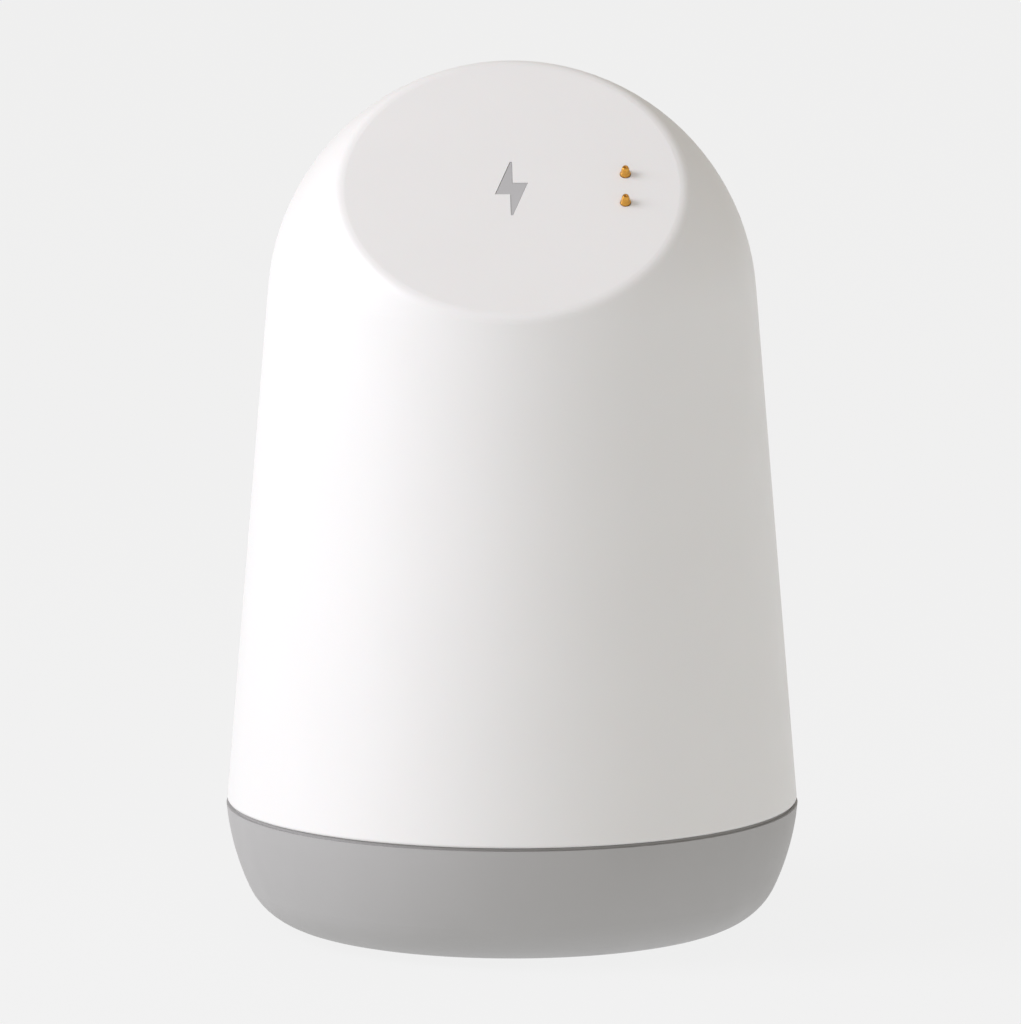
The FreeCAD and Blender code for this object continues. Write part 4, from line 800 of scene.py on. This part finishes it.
@dataclass
class ContactPin:
    """One sprung contact: plunger, barrel and spring, built about the pin's own axis."""

    side: Side
    face: DockingFace
    gold: bpy.types.Material
    dimple_shade: bpy.types.Material
    steel: bpy.types.Material
    pitch: float = 4.0 * MM
    plunger_radius: float = 0.55 * MM
    reach: float = 1.05 * MM
    travel: float = 0.8 * MM
    nose_shoulder: float = 0.2 * MM
    neck_radius: float = 0.46 * MM
    neck_height: float = 0.32 * MM
    nose_corner: float = 0.75 * MM
    nose_radius: float = 0.41 * MM
    tip_radius: float = 0.29 * MM
    dimple_radius: float = 0.14 * MM
    dimple_depth: float = 0.15 * MM
    piston_radius: float = 0.725 * MM
    piston_top: float = -2.73 * MM
    piston_length: float = 0.7 * MM
    neck_bore: float = 0.575 * MM
    block_front: float = -2.3 * MM
    barrel_radius: float = 1.0 * MM
    barrel_bore: float = 0.75 * MM
    shoulder: float = -2.7 * MM
    barrel_back: float = -6.2 * MM
    bore_floor: float = -5.9 * MM
    tail_radius: float = 0.35 * MM
    tail_end: float = -7.8 * MM
    edge_break: float = 0.05 * MM
    plunger_sides: int = 64
    wire_radius: float = 0.08 * MM
    wire_sides: int = 8
    coil_radius: float = 0.6 * MM
    turns: float = 6.0
    turn_steps: int = 24
    closed_turns: float = 1.0
    closed_pitch: float = 2.1  # rise of a closed turn, in wire radii
    seat_gap: float = 1.15  # height of the first turn's centre line over its seat, in wire radii

    @property
    def place(self) -> Matrix:
        """The pin's axes in the row frame."""
        return self.face.place(self.face.contacts + self.face.up_slope * self.side.value * self.pitch / 2)

    @property
    def piston_end(self) -> float:
        """Height of the piston's underside."""
        return self.piston_top - self.piston_length

    def plunger(self) -> None:
        """The gold nose that stands out of the face, with the piston that keeps it in, and shade painted dark
        into the dimple at its tip.
        """
        corners = [
            (0.0, self.piston_end),
            (self.piston_radius, self.piston_end),
            (self.piston_radius, self.piston_top),
            (self.plunger_radius, self.piston_top),
            (self.plunger_radius, self.nose_shoulder),
            (self.neck_radius, self.neck_height),
            (self.nose_radius, self.nose_corner),
            (self.tip_radius, self.reach),
            (self.dimple_radius, self.reach),
            (0.0, self.reach - self.dimple_depth),
        ]
        profile = rounded(corners, self.edge_break)
        piece = turned(f"contact_plunger_{self.side.word}", profile, self.place, self.plunger_sides)
        piece.data.materials.append(self.gold)
        piece.data.materials.append(self.dimple_shade)
        # the dimple's faces take the dark gold, which is painted shade for the hollow at the tip
        for face in piece.data.polygons:
            across = math.hypot(face.center.x, face.center.y)
            if across < self.dimple_radius and face.center.z > self.reach - self.dimple_depth:
                face.material_index = SECOND_FINISH
        install(piece, self.side.body, self.gold, f"pin_plunger_{self.side.word}")

    def barrel(self) -> None:
        """The gold barrel with its narrow neck and its solder tail."""
        outside = [
            (self.neck_bore, self.shoulder),
            (self.neck_bore, self.block_front),
            (self.barrel_radius, self.block_front),
            (self.barrel_radius, self.barrel_back),
            (self.tail_radius, self.barrel_back),
            (self.tail_radius, self.tail_end),
            (0.0, self.tail_end),
        ]
        inside = [(self.barrel_bore, self.bore_floor), (self.barrel_bore, self.shoulder)]
        profile = [(0.0, self.bore_floor)] + inside + rounded(outside, self.edge_break)
        piece = turned(f"contact_barrel_{self.side.word}", profile, self.place)
        install(piece, Body.DOCK, self.gold, f"pin_barrel_{self.side.word}")

    def spring_path(self) -> list[Vector]:
        """The spring's centre line, with a closed turn at each end.

        Returns:
            The line's points, from the barrel's floor up.
        """
        low = self.bore_floor + self.wire_radius * self.seat_gap
        high = self.piston_end - self.wire_radius * self.seat_gap
        ends = self.closed_turns
        closed_rise = self.closed_pitch * self.wire_radius * ends
        total = self.turns + 2 * ends
        points = []
        for step in range(int(total * self.turn_steps) + 1):
            turn = step / self.turn_steps
            if turn < ends:
                height = low + closed_rise * turn / ends
            elif turn > total - ends:
                height = high - closed_rise * (total - turn) / ends
            else:
                share = (turn - ends) / self.turns
                height = low + closed_rise + (high - low - 2 * closed_rise) * share
            angle = FULL_TURN * turn
            across = Vector((math.cos(angle), math.sin(angle), 0.0)) * self.coil_radius
            points.append(across + Vector((0.0, 0.0, height)))
        return points

    def spring(self) -> None:
        """The coil spring, between the barrel's floor and the plunger's piston."""
        name = f"contact_spring_{self.side.word}"
        piece = swept(name, self.spring_path(), self.wire_radius, self.place, self.wire_sides)
        install(piece, Body.DOCK, self.steel, f"pin_spring_{self.side.word}")
        self.place @ Vector((0.0, 0.0, self.bore_floor))
        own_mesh(piece)

    def build(self) -> None:
        """Makes and dresses the whole pin."""
        self.plunger()
        self.barrel()
        self.spring()


# ---------------------------------------------------------------- parts of the main board


def islands(node: str) -> list[Box]:
    """The boxes of a CAD node's separate solids, from left to right.

    Args:
        node: the node's name.

    Returns:
        The lowest and highest corner of each.
    """
    mesh = bmesh.new()
    mesh.from_mesh(frame["nodes"][node].data)
    bmesh.ops.remove_doubles(mesh, verts=mesh.verts, dist=SAME_POINT)
    waiting = set(mesh.verts)
    boxes = []
    while waiting:
        group = [waiting.pop()]
        for vert in group:
            for other in [edge.other_vert(vert) for edge in vert.link_edges]:
                if other in waiting:
                    waiting.remove(other)
                    group.append(other)
        low = Vector([min(vert.co[axis] for vert in group) for axis in range(3)])
        high = Vector([max(vert.co[axis] for vert in group) for axis in range(3)])
        boxes.append((low, high))
    mesh.free()
    return sorted(boxes, key=lambda box: (round(box[0].x, ORDER_DIGITS), round(box[0].y, ORDER_DIGITS)))


class Blocks:
    """Blocks with broken edges that make up one piece, each in one of the piece's finishes."""

    def __init__(self) -> None:
        """Starts with no block."""
        self.mesh = bmesh.new()

    def add(self, low: Vector, high: Vector, finish: int, bevel: float, corner: float = 0.0) -> None:
        """Adds a block.

        Args:
            low: its lowest corner.
            high: its highest corner.
            finish: which of the piece's materials it has.
            bevel: width of its broken edges.
            corner: how much is cut off each of its upright corners.
        """
        outline = [(low.x, low.y), (high.x, low.y), (high.x, high.y), (low.x, high.y)]
        if corner > 0:
            outline = [
                (low.x + corner, low.y), (high.x - corner, low.y), (high.x, low.y + corner),
                (high.x, high.y - corner), (high.x - corner, high.y), (low.x + corner, high.y),
                (low.x, high.y - corner), (low.x, low.y + corner),
            ]
        block = bmesh.new()
        add_prism(block, outline, low.z, high.z, bevel)
        for face in block.faces:
            face.material_index = finish
        data = bpy.data.meshes.new("block")
        block.to_mesh(data)
        block.free()
        self.mesh.from_mesh(data)
        bpy.data.meshes.remove(data)

    def piece(self, name: str, *materials: bpy.types.Material) -> bpy.types.Object:
        """Joins the blocks into one object.

        Args:
            name: the piece's name.
            materials: its finishes in order.

        Returns:
            The piece.
        """
        piece = add_piece(name, self.mesh, Matrix.Identity(4), smooth=False)
        for material in materials:
            piece.data.materials.append(material)
        return piece


@dataclass
class TwoEndedParts:
    """Small resistors or capacitors: a body between two tinned end caps."""

    node: str
    slot: Slot
    body: bpy.types.Material
    tin: bpy.types.Material
    cap_length: float = 0.32 * MM
    body_inset: float = 0.03 * MM
    edge_break: float = 0.03 * MM

    def build(self) -> None:
        """Makes all of the node's parts as one piece."""
        blocks = Blocks()
        for low, high in islands(self.node):
            inset = Vector((self.body_inset, self.cap_length - self.edge_break, self.body_inset))
            front = low, Vector((high.x, low.y + self.cap_length, high.z))
            back = Vector((low.x, high.y - self.cap_length, low.z)), high
            blocks.add(low + inset, high - inset, MAIN_FINISH, self.edge_break)
            for start, end in (front, back):
                blocks.add(start, end, SECOND_FINISH, self.edge_break)
        piece = blocks.piece(f"{self.node}_soldered", self.body, self.tin)
        install(piece, Body.DOCK, self.body, self.node)


@dataclass
class LeadedPart:
    """A moulded component with a row of flat leads along its front and back edges."""

    node: str
    slot: Slot
    body: bpy.types.Material
    tin: bpy.types.Material
    leads: int
    lead_width: float
    lead_height: float = 0.25 * MM
    lead_reach: float = 0.35 * MM
    lift: float = 0.06 * MM
    side_margin: float = 0.12 * MM
    corner: float = 0.0
    edge_break: float = 0.08 * MM
    lead_break: float = 0.03 * MM

    def build(self) -> None:
        """Makes the component as one piece."""
        low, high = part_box(self.node)
        blocks = Blocks()
        body_low = low + Vector((0.0, self.side_margin, self.lift))
        body_high = high - Vector((0.0, self.side_margin, 0.0))
        blocks.add(body_low, body_high, MAIN_FINISH, self.edge_break, self.corner)
        pitch = (high.x - low.x) / self.leads
        for index in range(self.leads):
            left = low.x + (index + 0.5) * pitch - self.lead_width / 2
            right = left + self.lead_width
            top = low.z + self.lead_height
            front = Vector((left, low.y, low.z)), Vector((right, low.y + self.lead_reach, top))
            back = Vector((left, high.y - self.lead_reach, low.z)), Vector((right, high.y, top))
            for start, end in (front, back):
                blocks.add(start, end, SECOND_FINISH, self.lead_break)
        piece = blocks.piece(f"{self.node}_soldered", self.body, self.tin)
        install(piece, Body.DOCK, self.body, self.node)


# ---------------------------------------------------------------- studio


@dataclass
class Studio:
    """Pale floor, soft key light from the left, a weak one in front, an even pale sky and the camera.

    Lengths are in metres, except the camera's lens and sensor, which are in millimetres.
    """

    elevation: float = math.radians(9.18)
    distance: float = 1.674
    lens: float = 564.5
    sensor_width: float = 36.0
    clip_near: float = 0.05
    clip_far: float = 200.0
    aim: Triple = (-0.165 * MM, 0.0, 43.72 * MM)
    floor_size: float = 60.0
    floor_glow: float = 0.885
    floor_catch: float = 0.05
    floor_colour: Colour = (0.9, 0.9, 0.9)
    floor_drop: float = 0.02 * MM
    sky: Colour = (0.515, 0.486, 0.442)
    light_distance: float = 0.55
    light_size: float = 0.32
    key_azimuth: float = math.radians(72.0)
    key_height: float = math.radians(31.0)
    key_power: float = 2.2
    key_colour: Colour = (0.99, 0.99, 1.07)
    fill_azimuth: float = 0.0
    fill_height: float = math.radians(55.0)
    fill_power: float = 0.2
    fill_colour: Colour = (1.0, 1.02, 1.25)

    def camera(self) -> None:
        """Puts the camera in place."""
        data = bpy.data.cameras.new("studio_camera")
        data.lens = self.lens
        data.sensor_width = self.sensor_width
        data.clip_start = self.clip_near
        data.clip_end = self.clip_far
        camera = bpy.data.objects.new("studio_camera", data)
        back = Vector((0.0, -math.cos(self.elevation), math.sin(self.elevation)))
        camera.location = Vector(self.aim) + back * self.distance
        camera.rotation_euler = (math.pi / 2 - self.elevation, 0.0, 0.0)
        bpy.context.scene.collection.objects.link(camera)
        bpy.context.scene.camera = camera

    def floor(self) -> None:
        """A plain pale floor just under the dock's foot."""
        mesh = bmesh.new()
        bmesh.ops.create_grid(mesh, x_segments=2, y_segments=2, size=self.floor_size / 2)
        place = Matrix.Translation((0.0, 0.0, -self.floor_drop))
        piece = add_piece("floor", mesh, place, smooth=False)
        piece.data.materials.append(self.floor_finish())

    def floor_finish(self) -> bpy.types.Material:
        """A paint that glows evenly and takes only a faint shadow, and that is clear when seen from below.

        Returns:
            The floor's material.
        """
        material = bpy.data.materials.new("pale floor")
        material.use_nodes = True
        tree = material.node_tree
        tree.nodes.remove(tree.nodes["Principled BSDF"])
        glow = tree.nodes.new("ShaderNodeEmission")
        glow.inputs["Color"].default_value = (1.0, 1.0, 1.0, 1.0)
        glow.inputs["Strength"].default_value = self.floor_glow
        catch = tree.nodes.new("ShaderNodeBsdfDiffuse")
        catch.inputs["Color"].default_value = (*self.floor_colour, 1.0)
        mix = tree.nodes.new("ShaderNodeMixShader")
        mix.inputs["Fac"].default_value = self.floor_catch
        tree.links.new(glow.outputs["Emission"], mix.inputs[1])
        tree.links.new(catch.outputs["BSDF"], mix.inputs[2])
        clear = tree.nodes.new("ShaderNodeMixShader")
        tree.links.new(tree.nodes.new("ShaderNodeNewGeometry").outputs["Backfacing"], clear.inputs["Fac"])
        tree.links.new(mix.outputs["Shader"], clear.inputs[1])
        tree.links.new(tree.nodes.new("ShaderNodeBsdfTransparent").outputs["BSDF"], clear.inputs[2])
        tree.links.new(clear.outputs["Shader"], tree.nodes["Material Output"].inputs["Surface"])
        return material

    def sky_light(self) -> None:
        """Even light from all round."""
        world = bpy.data.worlds.new("studio")
        world.use_nodes = True
        background = world.node_tree.nodes["Background"]
        background.inputs["Color"].default_value = (*self.sky, 1.0)
        background.inputs["Strength"].default_value = 1.0
        bpy.context.scene.world = world

    def softbox(self, name: str, azimuth: float, height: float, power: float, colour: Colour) -> None:
        """A square soft light that faces the object.

        Args:
            name: the light's name.
            azimuth: its direction from the front, positive to the left.
            height: its elevation.
            power: its power in watts.
            colour: its colour.
        """
        data = bpy.data.lights.new(name, "AREA")
        data.shape = "SQUARE"
        data.size = self.light_size
        data.energy = power
        data.color = colour
        light = bpy.data.objects.new(name, data)
        level = math.cos(height)
        towards = Vector((-math.sin(azimuth) * level, -math.cos(azimuth) * level, math.sin(height)))
        light.location = Vector(self.aim) + towards * self.light_distance
        light.rotation_euler = towards.to_track_quat("Z", "Y").to_euler()
        bpy.context.scene.collection.objects.link(light)

    def build(self) -> None:
        """Sets up the whole studio."""
        self.camera()
        self.floor()
        self.sky_light()
        self.softbox("key", self.key_azimuth, self.key_height, self.key_power, self.key_colour)
        self.softbox("fill", self.fill_azimuth, self.fill_height, self.fill_power, self.fill_colour)
        bpy.context.scene.view_settings.view_transform = "Standard"


# ---------------------------------------------------------------- the dock


@dataclass
class Dock:
    """The whole dock: its face's pieces and the finishes of the nodes that stay as they are."""

    face: DockingFace = field(default_factory=DockingFace.from_record)

    def finishes(self) -> dict[str, bpy.types.Material]:
        """Builds each finish once.

        Returns:
            The materials by a maker's plain names.
        """
        normal = tuple(self.face.normal)
        white = MouldedPlastic(
            "satin white plastic", (0.80, 0.797, 0.79), roughness=0.4, spread=0.04, mottle=0.012,
            subsurface=0.03,
        )
        cup = MouldedPlastic(
            "matt grey plastic", (0.41, 0.406, 0.403), roughness=0.52, mottle=0.03,
            grain_per_metre=3200.0, grain_height=0.01 * MM,
        )
        nylon = MouldedPlastic(
            "natural nylon", (0.66, 0.62, 0.50), roughness=0.4, spread=0.06, mottle=0.05, subsurface=0.1
        )
        carrier = MouldedPlastic("dark grey plastic", (0.075, 0.075, 0.078), roughness=0.5, spread=0.06)
        ceramic = MouldedPlastic("fired ceramic", (0.30, 0.19, 0.11), roughness=0.55, spread=0.1, mottle=0.2)
        red = MouldedPlastic("red wire cover", (0.42, 0.02, 0.015), roughness=0.35, mottle=0.05)
        dark = MouldedPlastic("black wire cover", (0.018, 0.018, 0.018), roughness=0.35, mottle=0.05)
        tape = SoftRubber("foam tape", (0.03, 0.03, 0.03), (0.06, 0.06, 0.06), grain_height=0.05 * MM)
        zinc = PlatedMetal("zinc plated steel", (0.60, 0.61, 0.62), (0.42, 0.41, 0.36), roughness=0.3)
        drawn = PlatedMetal("drawn stainless", (0.62, 0.61, 0.60), (0.5, 0.49, 0.47), roughness=0.28)
        gold = PlatedMetal("gold plating", (0.75, 0.39, 0.08), (0.50, 0.24, 0.045), roughness=0.22)
        # dark gold painted into the plunger's dimple as its shade
        dimple_shade = PlatedMetal("gold with painted dimple shade", (0.45, 0.18, 0.03), (0.24, 0.09, 0.015), roughness=0.5)
        nickel = PlatedMetal(
            "bright nickel", (0.66, 0.63, 0.58), (0.60, 0.57, 0.515), roughness=0.16, spread=0.04
        )
        built = {
            "white": ShellPlastic(white, tuple(self.face.origin), normal),
            "cup": cup,
            "rubber": SoftRubber("grey rubber", (0.045, 0.045, 0.046), (0.085, 0.083, 0.08)),
            "tape": tape,
            "iron": SandCastIron(),
            "zinc": zinc,
            "drawn": drawn,
            "gold": gold,
            "dimple_shade": dimple_shade,
            "nickel": nickel,
            "main_board": SolderMask("main board mask", (0.0, 0.0, 1.0)),
            "contact_board": SolderMask("contact board mask", normal),
            "black": MouldedPlastic("black plastic", (0.02, 0.02, 0.021), roughness=0.45, spread=0.08),
            "nylon": nylon,
            "carrier": carrier,
            "ceramic": ceramic,
            "red": red,
            "dark": dark,
            "inlay": MouldedPlastic("grey inlay", (0.46, 0.46, 0.465), roughness=0.5, mottle=0.03),
        }
        return {name: finish.material() for name, finish in built.items()}

    def wardrobe(self) -> dict[str, str]:
        """Which finish each carried-over node gets.

        Returns:
            Finish names by node.
        """
        nodes = {
            "outer_shell": "white",
            "base_cup": "cup",
            "foot_pad": "rubber",
            "weight_tape": "tape",
            "counterweight": "iron",
            "usb_socket_shell": "drawn",
            "usb_socket_insulator": "black",
            "usb_socket_terminals": "gold",
            "main_board": "main_board",
            "contact_board": "contact_board",
            "magnet_carrier": "carrier",
            "magnet_upper": "nickel",
            "magnet_lower": "nickel",
            "pin_block": "black",
            "supply_wire": "red",
            "ground_wire": "dark",
        }
        for screws in ("case_screws", "main_board_screws", "contact_board_screws"):
            nodes[screws] = "zinc"
        for end in ("upper", "lower"):
            nodes.update({f"{end}_header": "nylon", f"{end}_plug": "nylon", f"{end}_header_posts": "gold"})
        return nodes

    def build(self) -> None:
        """Makes the new pieces and dresses the rest."""
        materials = self.finishes()
        for node, finish in self.wardrobe().items():
            dress(node, materials[finish])
        ChargeSymbol(self.face, materials["inlay"]).build()
        for side in Side:
            ContactPin(side, self.face, materials["gold"], materials["dimple_shade"], materials["drawn"]).build()
        self.solder_parts(materials)

    def solder_parts(self, materials: dict[str, bpy.types.Material]) -> None:
        """Makes the components on the main board.

        Args:
            materials: the finishes by name.
        """
        black = materials["black"]
        tin = materials["nickel"]
        TwoEndedParts("chip_capacitors", Slot.CERAMIC, materials["ceramic"], tin).build()
        TwoEndedParts("chip_resistors", Slot.BLACK, black, tin).build()
        LeadedPart("charge_controller", Slot.BLACK, black, tin, leads=8, lead_width=0.3 * MM).build()
        LeadedPart(
            "surge_protector", Slot.BLACK, black, tin, leads=1, lead_width=0.9 * MM, lead_height=0.3 * MM
        ).build()
        LeadedPart(
            "power_inductor", Slot.FERRITE, materials["carrier"], tin, leads=1, lead_width=2.4 * MM,
            corner=0.6 * MM,
        ).build()


def main() -> None:
    """Builds the studio and the dock."""
    logging.basicConfig(level=logging.INFO, format="%(name)s: %(message)s")
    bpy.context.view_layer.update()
    Studio().build()
    Dock().build()


if __name__ == "__main__":
    main()
